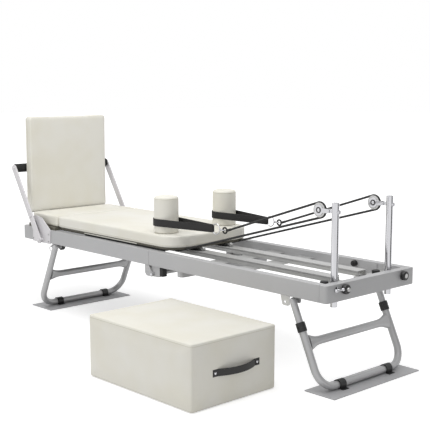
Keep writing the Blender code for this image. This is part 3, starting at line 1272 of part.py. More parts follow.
def rope_route():
    """Taut rope in its own upright plane: ring, over the pulley, back to the carriage cleat."""
    start = (HOOK_X + HOOK_RADIUS + HOOK_WIRE + SEAT_GAP, RING_Z)
    rise = math.degrees(math.atan2(PULLEY_Z - start[1], PULLEY_X - start[0]))
    reach = math.hypot(PULLEY_X - start[0], PULLEY_Z - start[1])
    upper = rise + math.degrees(math.asin(ROPE_GROOVE / reach))
    cleat = (CLEAT_X + CLEAT_LENGTH + SEAT_GAP, ROPE_CLEAT_Z)
    settle = [(cleat[0] + along, ROPE_CLEAT_Z + rise) for along, rise in ROPE_SETTLE]
    bend = settle[-1]
    fall = math.degrees(math.atan2(PULLEY_Z - bend[1], PULLEY_X - bend[0]))
    reach = math.hypot(PULLEY_X - bend[0], PULLEY_Z - bend[1])
    lower = fall - math.degrees(math.asin(ROPE_GROOVE / reach))
    wrap = outline_arc((PULLEY_X, PULLEY_Z), ROPE_GROOVE, upper + 90, lower - 90, 12)
    points = straight_run(start, wrap[0], 14) + wrap
    points = points + straight_run(wrap[-1], bend, 20)[1:] + [bend] + settle[:1] + [cleat]
    return points


def add_ropes(assembly):
    for side, sign in SIDES.items():
        points = [(x, sign * ROPE_Y, z) for x, z in rope_route()]
        length = sum((Vector(b) - Vector(a)).length for a, b in zip(points, points[1:]))
        print(f"rope {side}: {len(points)} points, {length:.3f} m")
        assembly.add(f"rope_{side}", rope_curve(points, ROPE_RADIUS), "carriage", "rope_black")


def footbar_bracket():
    """Near bracket plate on the rail's outer face with the pivot boss and bolt."""
    face = -RAIL_OUTER - SEAT_GAP
    outline = [(BAR_PIVOT_X + x, BAR_PIVOT_Z + z) for x, z in BRACKET_OUTLINE]
    plate = prism(outline, face - BAR_BRACKET_THICKNESS, face, "Y")
    pivot = (BAR_PIVOT_X, BAR_PIVOT_Z)
    boss_end = -BAR_ARM_INNER_Y + SEAT_GAP
    head_start = -BAR_ARM_OUTER_Y - SEAT_GAP
    boss = rod((pivot[0], face - BAR_BRACKET_THICKNESS / 2, pivot[1]), (pivot[0], boss_end, pivot[1]),
               BAR_BOSS_RADIUS, SMALL_SIDES)
    bolt = rod((pivot[0], boss_end + TUBE_WALL, pivot[1]), (pivot[0], head_start - TUBE_WALL, pivot[1]),
               BAR_BOLT_RADIUS, SMALL_SIDES)
    head = rod((pivot[0], head_start, pivot[1]), (pivot[0], head_start - BAR_BOLT_HEAD_THICKNESS, pivot[1]),
               BAR_BOLT_HEAD, SMALL_SIDES)
    return joined(plate, boss, bolt, head)


def footbar_arm():
    """Near arm: a flat bar with round ends and the lock bolt's head on its outer face."""
    rise = math.degrees(math.atan2(BAR_TOP_Z - BAR_PIVOT_Z, BAR_TOP_X - BAR_PIVOT_X))
    outline = outline_arc((BAR_PIVOT_X, BAR_PIVOT_Z), BAR_ARM_HALF_WIDTH, rise + 90, rise + 270, 8)
    outline = outline + outline_arc((BAR_TOP_X, BAR_TOP_Z), BAR_ARM_HALF_WIDTH, rise - 90, rise + 90, 8)
    arm = prism(outline, -BAR_ARM_OUTER_Y, -BAR_ARM_INNER_Y, "Y")
    along = math.radians(rise)
    x = BAR_PIVOT_X + BAR_LOCK_DISTANCE * math.cos(along)
    z = BAR_PIVOT_Z + BAR_LOCK_DISTANCE * math.sin(along)
    lock = rod((x, -BAR_ARM_INNER_Y - TUBE_WALL, z), (x, -BAR_ARM_OUTER_Y - BAR_BOLT_HEAD_THICKNESS, z),
               BAR_LOCK_HEAD, SMALL_SIDES)
    hole = rod((BAR_PIVOT_X, -BAR_ARM_OUTER_Y - TUBE_WALL, BAR_PIVOT_Z),
               (BAR_PIVOT_X, -BAR_ARM_INNER_Y + TUBE_WALL, BAR_PIVOT_Z),
               BAR_BOLT_RADIUS + RUNNING_GAP, SMALL_SIDES)
    return cut(joined(arm, lock), hole)


def add_footbar(assembly):
    assembly.add("footbar_bracket_near", footbar_bracket(), "foot_frame", "light_silver", smooth=False)
    assembly.add("footbar_bracket_far", mirrored(footbar_bracket(), "Y"), "foot_frame", "light_silver",
                 smooth=False)
    tube = rod((BAR_TOP_X, -BAR_ARM_OUTER_Y + TUBE_WALL, BAR_TOP_Z),
               (BAR_TOP_X, BAR_ARM_OUTER_Y - TUBE_WALL, BAR_TOP_Z), BAR_TUBE_RADIUS)
    frame = joined(tube, footbar_arm(), mirrored(footbar_arm(), "Y"))
    assembly.add("footbar_frame", frame, "footbar", "light_silver")
    reach = BAR_ARM_INNER_Y - SEAT_GAP
    grip = pipe((BAR_TOP_X, -reach, BAR_TOP_Z), (BAR_TOP_X, reach, BAR_TOP_Z), BAR_GRIP_RADIUS,
                BAR_TUBE_RADIUS + SEAT_GAP)
    assembly.add("footbar_grip", grip, "footbar", "black_foam")


def add_jump_board(assembly):
    flange_low = JUMP_BOTTOM - JUMP_FLANGE_THICKNESS
    half = JUMP_HALF_WIDTH - JUMP_PANEL_INSET
    outline = rounded_rectangle((-half, flange_low), (half, JUMP_TOP - JUMP_PANEL_INSET),
                                (JUMP_CORNER,) * 4, steps=5)
    panel = prism(outline, JUMP_BACK_X, JUMP_BACK_X + JUMP_PANEL_THICKNESS, "X")
    flange = block((JUMP_BACK_X + TUBE_WALL, -JUMP_FLANGE_HALF_WIDTH, flange_low),
                   (JUMP_PEG_X + 2 * JUMP_PEG_RADIUS, JUMP_FLANGE_HALF_WIDTH, JUMP_BOTTOM))
    pegs = []
    for sign in SIDES.values():
        pegs.append(rod((JUMP_PEG_X, sign * JUMP_PEG_Y, RAIL_BOTTOM + TUBE_WALL + SEAT_GAP),
                        (JUMP_PEG_X, sign * JUMP_PEG_Y, JUMP_BOTTOM - JUMP_FLANGE_THICKNESS / 2),
                        JUMP_PEG_RADIUS))
    assembly.add("jump_board", joined(panel, flange, *pegs), "jump_board", "black_plastic", smooth=False)

    outline = rounded_rectangle((-JUMP_HALF_WIDTH, JUMP_BOTTOM + SEAT_GAP), (JUMP_HALF_WIDTH, JUMP_TOP),
                                (JUMP_CORNER,) * 4, steps=5, side_points=3, draw_in=SIDE_DRAW)
    seat = JUMP_BACK_X + JUMP_PANEL_THICKNESS + SEAT_GAP
    pad = cushion(outline, seat, JUMP_FRONT_X, PAD_CROWN, PAD_EDGE)
    upright = Matrix(((0, 0, 1, 0), (1, 0, 0, 0), (0, 1, 0, 0), (0, 0, 0, 1)))
    assembly.add("jump_board_pad", moved(pad, upright), "jump_board", "cream_leather")


def handle_outline():
    """Plan of the carrying strap: flat ends on the box face and a shallow arch between them."""
    face = BOX_X + BOX_LENGTH / 2 - BOX_EDGE * WALL_DRAW * 0.9 + SEAT_GAP
    half = HANDLE_LENGTH / 2
    inner = []
    for step in range(13):
        share = step / 12
        y = -half + HANDLE_END + (HANDLE_LENGTH - 2 * HANDLE_END) * share
        inner.append((face + HANDLE_BULGE * math.sin(math.pi * share), HANDLE_Y + y))
    inner = [(face, HANDLE_Y - half)] + inner + [(face, HANDLE_Y + half)]
    outer = [(x + HANDLE_THICKNESS, y) for x, y in inner]
    return inner + outer[::-1]


def add_sitting_box(assembly):
    low = (BOX_X - BOX_LENGTH / 2, BOX_Y - BOX_WIDTH / 2)
    high = (BOX_X + BOX_LENGTH / 2, BOX_Y + BOX_WIDTH / 2)
    outline = rounded_rectangle(low, high, (BOX_CORNER,) * 4, steps=4, side_points=3, draw_in=0.0)
    box = cushion(outline, 0.0, BOX_HEIGHT, BOX_CROWN, BOX_EDGE)
    assembly.add("sitting_box", box, "sitting_box", "cream_leather")
    strap = prism(handle_outline(), HANDLE_Z - HANDLE_WIDTH / 2, HANDLE_Z + HANDLE_WIDTH / 2, "Z")
    assembly.add("box_handle", strap, "sitting_box", "black_leather", smooth=False)


def build():
    clear_scene()
    assembly = Assembly()
    add_rails(assembly)
    add_end_rails(assembly)
    add_tracks(assembly)
    add_tie_plates(assembly)
    add_fold_hinge(assembly)
    add_head_leg(assembly)
    add_foot_leg(assembly)
    add_floor_plates(assembly)
    add_posts(assembly)
    add_platform(assembly)
    add_carriage_base(assembly)
    add_carriage_pad(assembly)
    add_rollers(assembly)
    add_springs(assembly)
    add_shoulder_rests(assembly)
    add_straps(assembly)
    add_ropes(assembly)
    add_footbar(assembly)
    add_jump_board(assembly)
    add_sitting_box(assembly)
    assembly.stand_on_origin()
    print("parts:", len(assembly.parts))


build()
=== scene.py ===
# %% [markdown]
# # Folding pilates reformer
# The hard frame comes in as a finished model with its joints. This script dresses it:
# every visible piece is modelled smooth and bevelled, padded pieces are inflated like
# real foam under leather, and each surface gets a finish of its own.

# %% Load the frame
import json
import math

import bpy
from mathutils import Matrix, Vector
from mathutils.bvhtree import BVHTree

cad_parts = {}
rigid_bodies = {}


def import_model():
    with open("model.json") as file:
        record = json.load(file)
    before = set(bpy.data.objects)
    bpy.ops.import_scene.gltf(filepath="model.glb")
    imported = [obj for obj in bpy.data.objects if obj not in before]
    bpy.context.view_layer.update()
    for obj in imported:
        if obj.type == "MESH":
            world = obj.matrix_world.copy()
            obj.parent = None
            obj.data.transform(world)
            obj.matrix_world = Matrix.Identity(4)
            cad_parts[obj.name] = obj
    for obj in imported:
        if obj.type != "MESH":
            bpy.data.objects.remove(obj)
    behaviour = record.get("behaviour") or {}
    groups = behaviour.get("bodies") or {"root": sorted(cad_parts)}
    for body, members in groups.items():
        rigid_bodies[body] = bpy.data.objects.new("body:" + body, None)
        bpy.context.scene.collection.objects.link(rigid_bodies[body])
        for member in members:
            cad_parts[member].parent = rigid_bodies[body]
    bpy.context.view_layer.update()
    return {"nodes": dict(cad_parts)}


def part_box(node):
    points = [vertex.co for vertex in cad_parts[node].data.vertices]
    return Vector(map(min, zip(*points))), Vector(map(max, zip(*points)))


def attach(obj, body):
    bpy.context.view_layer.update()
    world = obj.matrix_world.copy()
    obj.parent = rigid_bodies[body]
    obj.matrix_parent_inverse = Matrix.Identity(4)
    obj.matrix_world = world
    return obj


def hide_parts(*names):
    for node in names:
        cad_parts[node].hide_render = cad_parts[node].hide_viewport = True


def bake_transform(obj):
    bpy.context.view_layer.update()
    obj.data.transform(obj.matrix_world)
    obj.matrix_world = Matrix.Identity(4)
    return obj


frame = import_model()

# %% [markdown]
# Lengths are easiest to think of from the split between the two frame halves, the
# centre line and the floor. The end rails tell where that point lies in the model,
# so `at` turns a place on the reformer into a place in the scene.

# %% The reformer's own zero
head_end_low, head_end_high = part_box("head_end_rail")
foot_end_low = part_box("foot_end_rail")[0]
ZERO = Vector(((head_end_high.x + foot_end_low.x) / 2, (head_end_high.y + head_end_low.y) / 2, 0))
SIDES = {"near": -1, "far": 1}


def at(x, y, z):
    return Vector((x, y, z)) + ZERO


print("split at", [round(value, 4) for value in ZERO])

# %% [markdown]
# The photograph is square and was taken from beside the head end, a little above the
# carriage. A long lens keeps the frame's edges nearly parallel. A camera could be moved
# by eye until it fits. Here its place, angles and lens were worked out from the frame's
# straight edges, which is surer.

# %% Camera
LENS_MM = 79.78
YAW = math.radians(46.74)
PITCH = math.radians(8.02)
ROLL = math.radians(0.12)
camera_data = bpy.data.cameras.new("camera")
camera_data.lens = LENS_MM
camera_data.sensor_width = 36
camera = bpy.data.objects.new("camera", camera_data)
bpy.context.scene.collection.objects.link(camera)
turn = Matrix.Rotation(YAW, 4, "Z") @ Matrix.Rotation(math.pi / 2 - PITCH, 4, "X")
camera.matrix_world = Matrix.Translation(at(3.6725, -3.3066, 1.3268)) @ turn @ Matrix.Rotation(ROLL, 4, "Z")
bpy.context.scene.camera = camera
bpy.context.scene.view_settings.view_transform = "Standard"
print("camera at", [round(value, 3) for value in camera.matrix_world.translation])

# %% [markdown]
# A finish is built from shader nodes. To keep the maths readable, `Field` wraps a
# node's socket so that plain `+`, `-` and `*` add Math nodes, and `Finish` holds one
# material, its shader and the record's slot that the finish belongs to.

# %% A small language for finishes
class Field:
    """A shader socket that ordinary sums work on."""

    def __init__(self, finish, socket):
        self.finish = finish
        self.socket = socket

    def maths(self, operation, *values):
        return self.finish.node("ShaderNodeMath", {"operation": operation}, dict(enumerate(values)))

    def __add__(self, other):
        return self.maths("ADD", self, other)

    def __sub__(self, other):
        return self.maths("SUBTRACT", self, other)

    def __mul__(self, other):
        return self.maths("MULTIPLY", self, other)


def linear(*levels):
    """Screen colour levels of 0 to 255 as the linear colour that shaders use."""
    values = []
    for level in levels:
        share = level / 255
        values.append(share / 12.92 if share <= 0.04045 else ((share + 0.055) / 1.055) ** 2.4)
    return (*values, 1.0)


class Finish:
    """One material with its Principled shader."""

    def __init__(self, name, slot, colour, roughness, metallic=0.0):
        self.slot = slot
        self.material = bpy.data.materials.new(name)
        self.material.use_nodes = True
        self.tree = self.material.node_tree
        self.shader = self.tree.nodes["Principled BSDF"]
        self.shader.inputs["Base Color"].default_value = colour
        self.shader.inputs["Roughness"].default_value = roughness
        self.shader.inputs["Metallic"].default_value = metallic
        self.material.diffuse_color = colour

    def node(self, kind, settings, sockets, output=0):
        made = self.tree.nodes.new(kind)
        stops = settings.pop("stops", None)
        for key, value in settings.items():
            setattr(made, key, value)
        if stops:
            for element, (position, colour) in zip(made.color_ramp.elements, stops):
                element.position = position
                element.color = colour
        for key, value in sockets.items():
            if isinstance(value, Field):
                self.tree.links.new(value.socket, made.inputs[key])
            else:
                made.inputs[key].default_value = value
        return Field(self, made.outputs[output])

    def place(self, output="Object"):
        return self.node("ShaderNodeTexCoord", {}, {}, output)

    def stretched(self, scale):
        """Object coordinates scaled unevenly, for brushed or ribbed patterns."""
        return self.node("ShaderNodeMapping", {}, {"Vector": self.place(), "Scale": scale})

    def noise(self, scale, detail=3.0, vector=None):
        return self.node("ShaderNodeTexNoise", {}, {
            "Vector": vector or self.place(), "Scale": scale, "Detail": detail})

    def ramp(self, field, low, high, first=(0, 0, 0, 1), second=(1, 1, 1, 1)):
        return self.node("ShaderNodeValToRGB", {"stops": [(low, first), (high, second)]}, {"Fac": field})

    def blend(self, factor, first, second):
        return self.node("ShaderNodeMix", {"data_type": "RGBA"}, {0: factor, 6: first, 7: second}, 2)

    def feed(self, socket, field):
        self.tree.links.new(field.socket, self.shader.inputs[socket])

    def bump(self, height, strength, distance):
        self.feed("Normal", self.node("ShaderNodeBump", {}, {
            "Height": height, "Strength": strength, "Distance": distance}))


print("finish tools ready")

# %% [markdown]
# The frame is silver powder coat over aluminium. Up close such a coat has a very fine
# orange-peel and faint clouds of lighter and darker metal. A noise texture gives both:
# large and soft for the clouds, fine for the bump. A second metal finish, with long
# thin streaks, stands for drawn and brushed parts.

# %% Metal finishes
def coated_metal(name, slot, colour, roughness, metallic):
    finish = Finish(name, slot, colour, roughness, metallic)
    clouds = finish.noise(9.0, 2.0)
    darker = tuple(channel * 0.93 for channel in colour[:3]) + (1.0,)
    finish.feed("Base Color", finish.blend(clouds, darker, colour))
    finish.feed("Roughness", clouds * 0.10 + (roughness - 0.05))
    finish.bump(finish.noise(900.0, 2.0), 0.04, 0.0004)
    return finish


def drawn_metal(name, slot, colour, roughness, metallic, along):
    finish = Finish(name, slot, colour, roughness, metallic)
    streaks = finish.noise(1.0, 4.0, finish.stretched(along))
    darker = tuple(channel * 0.88 for channel in colour[:3]) + (1.0,)
    finish.feed("Base Color", finish.blend(streaks, darker, colour))
    finish.feed("Roughness", streaks * 0.16 + (roughness - 0.08))
    finish.bump(streaks, 0.05, 0.0003)
    return finish


RAIL_SILVER = coated_metal("rail_silver", "satin_silver", linear(178, 178, 179), 0.46, 0.12)
TRACK_SILVER = drawn_metal("track_silver", "satin_silver", linear(182, 182, 181), 0.40, 0.30, (3, 260, 260))
LEG_SILVER = drawn_metal("leg_silver", "leg_silver", linear(186, 186, 187), 0.36, 0.35, (260, 260, 8))
ARM_SILVER = coated_metal("arm_silver", "light_silver", linear(214, 212, 214), 0.38, 0.15)
PLATE_GREY = coated_metal("plate_grey", "plate_grey", linear(180, 180, 182), 0.5, 0.1)
POST_CHROME = drawn_metal("post_chrome", "bright_steel", linear(196, 196, 199), 0.11, 1.0, (220, 220, 6))
WHEEL_SILVER = coated_metal("wheel_silver", "light_silver", linear(188, 188, 187), 0.30, 0.5)
CATCH_SILVER = coated_metal("catch_silver", "light_silver", linear(224, 224, 222), 0.40, 0.1)
print("metals ready")

# %% [markdown]
# The cushions are covered in cream leather cloth. Its grain is a field of small
# pebbles, which Voronoi cells give, broken up by noise so that no pebble repeats. The
# colour drifts a little warmer and cooler over a hand's width. A picture of leather
# could do the same, but it would show where it repeats on a pad this long.

# %% Leather finishes
def leather(name, slot, colour, warm, roughness):
    finish = Finish(name, slot, colour, roughness)
    drift = finish.ramp(finish.noise(5.0, 2.0), 0.35, 0.65)
    finish.feed("Base Color", finish.blend(drift, warm, colour))
    pebbles = finish.node("ShaderNodeTexVoronoi", {"feature": "SMOOTH_F1"}, {
        "Vector": finish.place(), "Scale": 520.0, "Smoothness": 0.6})
    creases = finish.noise(140.0, 4.0)
    finish.feed("Roughness", creases * 0.14 + (roughness - 0.07))
    finish.bump(pebbles + creases * 0.6, 0.16, 0.0008)
    return finish


CREAM_LEATHER = leather("cream_leather", "cream_leather", linear(226, 224, 216), linear(222, 219, 207), 0.5)
PIPING = leather("cream_piping", "cream_leather", linear(208, 205, 190), linear(200, 197, 182), 0.5)
BLACK_LEATHER = leather("black_leather", "black_leather", linear(22, 21, 20), linear(15, 14, 14), 0.55)
print("leathers ready")

# %% [markdown]
# Black parts differ only in how they scatter light: moulded plastic has a fine spark
# texture, foam is a dull sponge, webbing has ribs along the strap, and the rope's
# cover is braided from two sets of strands that cross on a slant.

# %% Black finishes and the board
def moulded(name, slot, colour, roughness):
    finish = Finish(name, slot, colour, roughness)
    grain = finish.noise(700.0, 3.0)
    finish.feed("Roughness", grain * 0.2 + (roughness - 0.1))
    finish.bump(grain, 0.10, 0.0005)
    return finish


def sponge(name, slot, colour):
    finish = Finish(name, slot, colour, 0.85)
    pores = finish.noise(420.0, 5.0)
    lighter = tuple(min(channel * 1.9, 1.0) for channel in colour[:3]) + (1.0,)
    finish.feed("Base Color", finish.blend(pores, colour, lighter))
    finish.bump(pores, 0.35, 0.001)
    return finish


RIB_WAVES = 2400.0


def webbing(name, slot, colour):
    finish = Finish(name, slot, colour, 0.75)
    waves = finish.node("ShaderNodeSeparateXYZ", {}, {0: finish.place()}, 2) * RIB_WAVES
    ribs = waves.maths("SINE", waves)
    threads = finish.noise(650.0, 2.0)
    lighter = tuple(channel * 2.2 for channel in colour[:3]) + (1.0,)
    finish.feed("Base Color", finish.blend(ribs * 0.25 + threads * 0.6, colour, lighter))
    finish.bump(ribs * 0.5 + threads, 0.3, 0.0006)
    return finish


FULL_TURN = 6.2832
STRANDS, TWISTS = 8.0, 300.0


def braided(name, slot, colour, light):
    """Two sets of strands that wind round the rope in opposite ways, from its own UV map."""
    finish = Finish(name, slot, colour, 0.8)
    uv = finish.place("UV")
    parts = finish.tree.nodes.new("ShaderNodeSeparateXYZ")
    finish.tree.links.new(uv.socket, parts.inputs[0])
    around = Field(finish, parts.outputs[1])
    along = Field(finish, parts.outputs[0])
    first = (around * STRANDS + along * TWISTS) * FULL_TURN
    second = (around * STRANDS - along * TWISTS) * FULL_TURN
    strands = first.maths("SINE", first) * second.maths("SINE", second)
    finish.feed("Base Color", finish.blend(strands * 0.5 + 0.5, colour, light))
    finish.bump(strands, 0.4, 0.0008)
    return finish


BLACK_PLASTIC = moulded("black_plastic", "black_plastic", linear(24, 24, 25), 0.42)
BLACK_RUBBER = moulded("black_rubber", "black_plastic", linear(22, 22, 22), 0.7)
BLACK_FOAM = sponge("black_foam", "black_foam", linear(22, 22, 22))
BLACK_WEBBING = webbing("black_webbing", "black_webbing", linear(19, 18, 18))
ROPE = braided("rope_cover", "rope_black", linear(26, 26, 26), linear(52, 52, 52))
BOARD = coated_metal("painted_board", "board_grey", linear(92, 89, 78), 0.6, 0.0)
# A pale copy of the board's colour, painted light: the lit band along the carriage board's edge.
LIT_EDGE_PAINT = coated_metal("lit_edge_paint", "board_grey", linear(214, 212, 203), 0.5, 0.0)
print("blacks and board ready")

# %% [markdown]
# Every piece is made in the same few moves, so these moves get names. An operator acts
# on all that is selected, so `take` clears the selection before it picks a piece.

# %% Selecting, rounding and applying
def fresh():
    if bpy.context.object and bpy.context.object.mode != "OBJECT":
        bpy.ops.object.mode_set(mode="OBJECT")
    bpy.ops.object.select_all(action="DESELECT")


def take(piece):
    fresh()
    piece.select_set(True)
    bpy.context.view_layer.objects.active = piece
    return piece


def round_edges(piece, width, segments=3, angle=35):
    if width > 0:
        step = piece.modifiers.new("edges", "BEVEL")
        step.width = width
        step.segments = segments
        step.limit_method = "ANGLE"
        step.angle_limit = math.radians(angle)
        step.harden_normals = False
    return piece


def apply_all(piece):
    take(piece)
    for step in list(piece.modifiers):
        bpy.ops.object.modifier_apply(modifier=step.name)
    bpy.ops.object.transform_apply(location=True, rotation=True, scale=True)
    return piece


print("selection moves ready")

# %% [markdown]
# A slab is a cube at its size with bevelled edges. A turned piece starts as a circle
# that is extruded and resized ring by ring, like work on a lathe. Its points could be
# typed in as numbers too, but a list of radii and heights is easier to read and change.

# %% Slabs and turned pieces
def slab(low, high, edge=0.001, segments=3):
    low, high = Vector(low), Vector(high)
    fresh()
    bpy.ops.mesh.primitive_cube_add(size=1, location=(low + high) / 2 + ZERO, scale=high - low)
    piece = bpy.context.object
    bpy.ops.object.transform_apply(location=False, rotation=False, scale=True)
    return round_edges(piece, edge, segments)


def turned(rings, base, axis, sides=48, edge=0.0, closed=False):
    """Rings of (radius, height), or (radius, second radius, height), from base along axis."""
    fresh()
    bpy.ops.mesh.primitive_circle_add(vertices=sides, radius=1.0, location=(0, 0, 0))
    piece = bpy.context.object
    bpy.ops.object.mode_set(mode="EDIT")
    bpy.ops.mesh.select_all(action="SELECT")
    rings = [(ring[0], ring[0], ring[1]) if len(ring) == 2 else ring for ring in rings]
    first = rings[0]
    bpy.ops.transform.resize(value=(first[0], first[1], 1), center_override=(0, 0, 0))
    bpy.ops.transform.translate(value=(0, 0, first[2]))
    if not closed:
        bpy.ops.mesh.edge_face_add()
        bpy.ops.mesh.select_all(action="SELECT")
        bpy.ops.mesh.region_to_loop()
    previous = first
    for ring in rings[1:]:
        bpy.ops.mesh.extrude_edges_move(TRANSFORM_OT_translate={"value": (0, 0, ring[2] - previous[2])})
        ratio = (ring[0] / previous[0], ring[1] / previous[1], 1)
        bpy.ops.transform.resize(value=ratio, center_override=(0, 0, ring[2]))
        previous = ring
    if closed:
        bpy.ops.mesh.select_all(action="DESELECT")
        bpy.ops.mesh.select_mode(type="EDGE")
        bpy.ops.mesh.select_non_manifold()
        bpy.ops.mesh.bridge_edge_loops()
    else:
        bpy.ops.mesh.edge_face_add()
    bpy.ops.mesh.select_all(action="SELECT")
    bpy.ops.mesh.normals_make_consistent(inside=False)
    bpy.ops.object.mode_set(mode="OBJECT")
    piece.rotation_euler = Vector(axis).to_track_quat("Z", "Y").to_euler()
    piece.location = Vector(base) + ZERO
    return round_edges(piece, edge)


def rod(start, end, radius, edge=0.0008, sides=40):
    run = Vector(end) - Vector(start)
    return turned([(radius, 0), (radius, run.length)], start, run, sides, edge)


print("slabs and turned pieces ready")

# %% [markdown]
# A plate is a flat outline with thickness, and a tube follows a list of points. Both
# start as curves, whose bevel and fill do the work, and then become meshes. A ring of
# wire is a torus.

# %% Outlines, plates and tubes
def arc(centre, radius, start, end, steps):
    points = []
    for step in range(steps + 1):
        angle = math.radians(start + (end - start) * step / steps)
        points.append((centre[0] + radius * math.cos(angle), centre[1] + radius * math.sin(angle)))
    return points


def as_mesh(curve):
    take(curve)
    bpy.ops.object.convert(target="MESH")
    piece = bpy.context.object
    bpy.ops.object.mode_set(mode="EDIT")
    bpy.ops.mesh.select_all(action="SELECT")
    bpy.ops.mesh.remove_doubles(threshold=0.00002)
    bpy.ops.mesh.normals_make_consistent(inside=False)
    bpy.ops.object.mode_set(mode="OBJECT")
    return piece


def curve_object(points_list, cyclic, flat):
    data = bpy.data.curves.new("line", "CURVE")
    data.dimensions = "2D" if flat else "3D"
    for points in points_list:
        spline = data.splines.new("POLY")
        spline.points.add(len(points) - 1)
        for target, point in zip(spline.points, points):
            target.co = (*point, 0.0, 1.0) if flat else (*point, 1.0)
        spline.use_cyclic_u = cyclic
    made = bpy.data.objects.new("line", data)
    bpy.context.scene.collection.objects.link(made)
    return made


PLATE_TURN = {
    "X": Matrix(((0, 0, 1, 0), (1, 0, 0, 0), (0, 1, 0, 0), (0, 0, 0, 1))),
    "Y": Matrix(((1, 0, 0, 0), (0, 0, -1, 0), (0, 1, 0, 0), (0, 0, 0, 1))),
    "Z": Matrix.Identity(4),
}


def plate(outlines, low, high, axis, edge=0.0008):
    """Flat outline, with further outlines for its holes, made as thick as low to high along an axis."""
    made = curve_object(outlines, cyclic=True, flat=True)
    made.data.fill_mode = "BOTH"
    made.data.extrude = abs(high - low) / 2 - edge
    made.data.bevel_depth = edge
    made.data.bevel_resolution = 1
    made.data.offset = -edge
    middle = (low + high) / 2
    shift = {"X": (middle, 0, 0), "Y": (0, middle, 0), "Z": (0, 0, middle)}[axis]
    made.matrix_world = Matrix.Translation(Vector(shift) + ZERO) @ PLATE_TURN[axis]
    return as_mesh(made)


def tube_along(points, radius, cyclic=False, resolution=6):
    made = curve_object([points], cyclic, flat=False)
    made.data.bevel_depth = radius
    made.data.bevel_resolution = resolution
    made.data.use_fill_caps = True
    made.location = ZERO
    return as_mesh(made)


def wire_ring(centre, radius, wire, around, across, tilt=0):
    """Ring of round wire that lies flat, or stands upright at a tilt of 90 degrees."""
    fresh()
    bpy.ops.mesh.primitive_torus_add(
        major_radius=radius, minor_radius=wire, major_segments=around, minor_segments=across,
        location=at(*centre), rotation=(math.radians(tilt), 0, 0))
    return bpy.context.object


print("plates and tubes ready")

# %% [markdown]
# `settle` applies the modifiers, gives the finish, and hangs the piece on the body that
# carries it. Where the two sides are mirror images, `flipped` makes the far side's piece
# from the near side's.

# %% Joining and settling
def joined(*pieces):
    for piece in pieces:
        apply_all(piece)
    fresh()
    for piece in pieces:
        piece.select_set(True)
    bpy.context.view_layer.objects.active = pieces[0]
    bpy.ops.object.join()
    return bpy.context.object


def settle(piece, name, finish, body, *nodes, smooth=32):
    apply_all(piece)
    bpy.ops.object.shade_smooth_by_angle(angle=math.radians(smooth))
    if smooth < 45:
        step = piece.modifiers.new("flat faces stay flat", "WEIGHTED_NORMAL")
        step.keep_sharp = True
        bpy.ops.object.modifier_apply(modifier=step.name)
    piece.name = name
    piece.data.name = name
    piece.data.materials.clear()
    piece.data.materials.append(finish.material)
    if body:
        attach(piece, body)
    if nodes:
        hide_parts(*nodes)
    print(f"{name}: {len(piece.data.polygons)} faces")
    return piece


def flipped(piece, name):
    """A mirror copy of a settled near-side piece for the far side, with its own mesh."""
    take(piece)
    bpy.ops.object.duplicate()
    copy = bpy.context.object
    bpy.ops.object.parent_clear(type="CLEAR_KEEP_TRANSFORM")
    bpy.ops.object.mode_set(mode="EDIT")
    bpy.ops.mesh.select_all(action="SELECT")
    bpy.ops.transform.mirror(constraint_axis=(False, True, False), center_override=ZERO)
    bpy.ops.mesh.flip_normals()
    bpy.ops.object.mode_set(mode="OBJECT")
    copy.name = name
    copy.data.name = name
    return copy


def settle_both(piece, name, finish, body, node=None):
    """Settle a near-side piece, and then its mirror copy for the far side."""
    for side in SIDES:
        if side == "far":
            piece = flipped(piece, name.format(side))
        nodes = [node.format(side)] if node else []
        piece = settle(piece, name.format(side), finish, body, *nodes)


def slab_pair(low, high, edge):
    """Two slabs, one on each side of the centre line, from their near-side corners."""
    far_low, far_high = (low[0], -high[1], low[2]), (high[0], -low[1], high[2])
    return joined(slab(low, high, edge), slab(far_low, far_high, edge))


print("settling moves ready")

# %% [markdown]
# The CAD nodes that are already the right shape stay as they are and only get a
# finish: tracks, plates under the tracks, the cross beam, the hinge and the carriage
# board. Their edges are straight folds of sheet or sawn board, so nothing is lost.

# %% Finishes for the pieces that stay
KEPT = {
    "head_track_near": TRACK_SILVER, "head_track_far": TRACK_SILVER,
    "foot_track_near": TRACK_SILVER, "foot_track_far": TRACK_SILVER,
    "head_tie_plate_inner": TRACK_SILVER, "head_tie_plate_middle": TRACK_SILVER,
    "head_tie_plate_outer": TRACK_SILVER, "foot_tie_plate": TRACK_SILVER,
    "head_cross_beam": RAIL_SILVER, "head_hinge": RAIL_SILVER, "foot_hinge": RAIL_SILVER,
    "carriage_base": BOARD, "platform_board": BOARD,
}
for node_name, finish in KEPT.items():
    node = frame["nodes"][node_name]
    node.data.materials.clear()
    node.data.materials.append(finish.material)
print("kept:", len(KEPT))

# %% [markdown]
# The side rails are rectangular aluminium tubes. Their long edges are slightly
# rounded, which catches a thin line of light. A bevelled cube does for each, because the
# end rails close the tubes and their hollow never shows. Under each rail a welded plate
# carries the leg's pivot pin, with two bolt heads on its inner face.

# %% Side rails
RAIL_TOP, RAIL_BOTTOM = 0.4805, 0.404
RAIL_OUTER, RAIL_INNER = 0.310, 0.270
HALF_LENGTH, HEAD_RAIL_END, FOOT_RAIL_END = 1.166, 1.1257, 1.0857
HEAD_PIVOT = (0.9653, 0.3825)
FOOT_PIVOT = (-0.858, 0.3862)
LEG_SPACING, LEG_RADIUS = 0.293, 0.0173
SPLIT_GAP = 0.0003
BRACKET_HALF_WIDTH, BRACKET_TOP, BOLT_Z, PIN_END_Y = 0.022, 0.474, 0.444, -0.3078


def rail(start, end):
    return slab((start, -RAIL_OUTER, RAIL_BOTTOM), (end, -RAIL_INNER, RAIL_TOP), 0.0022)


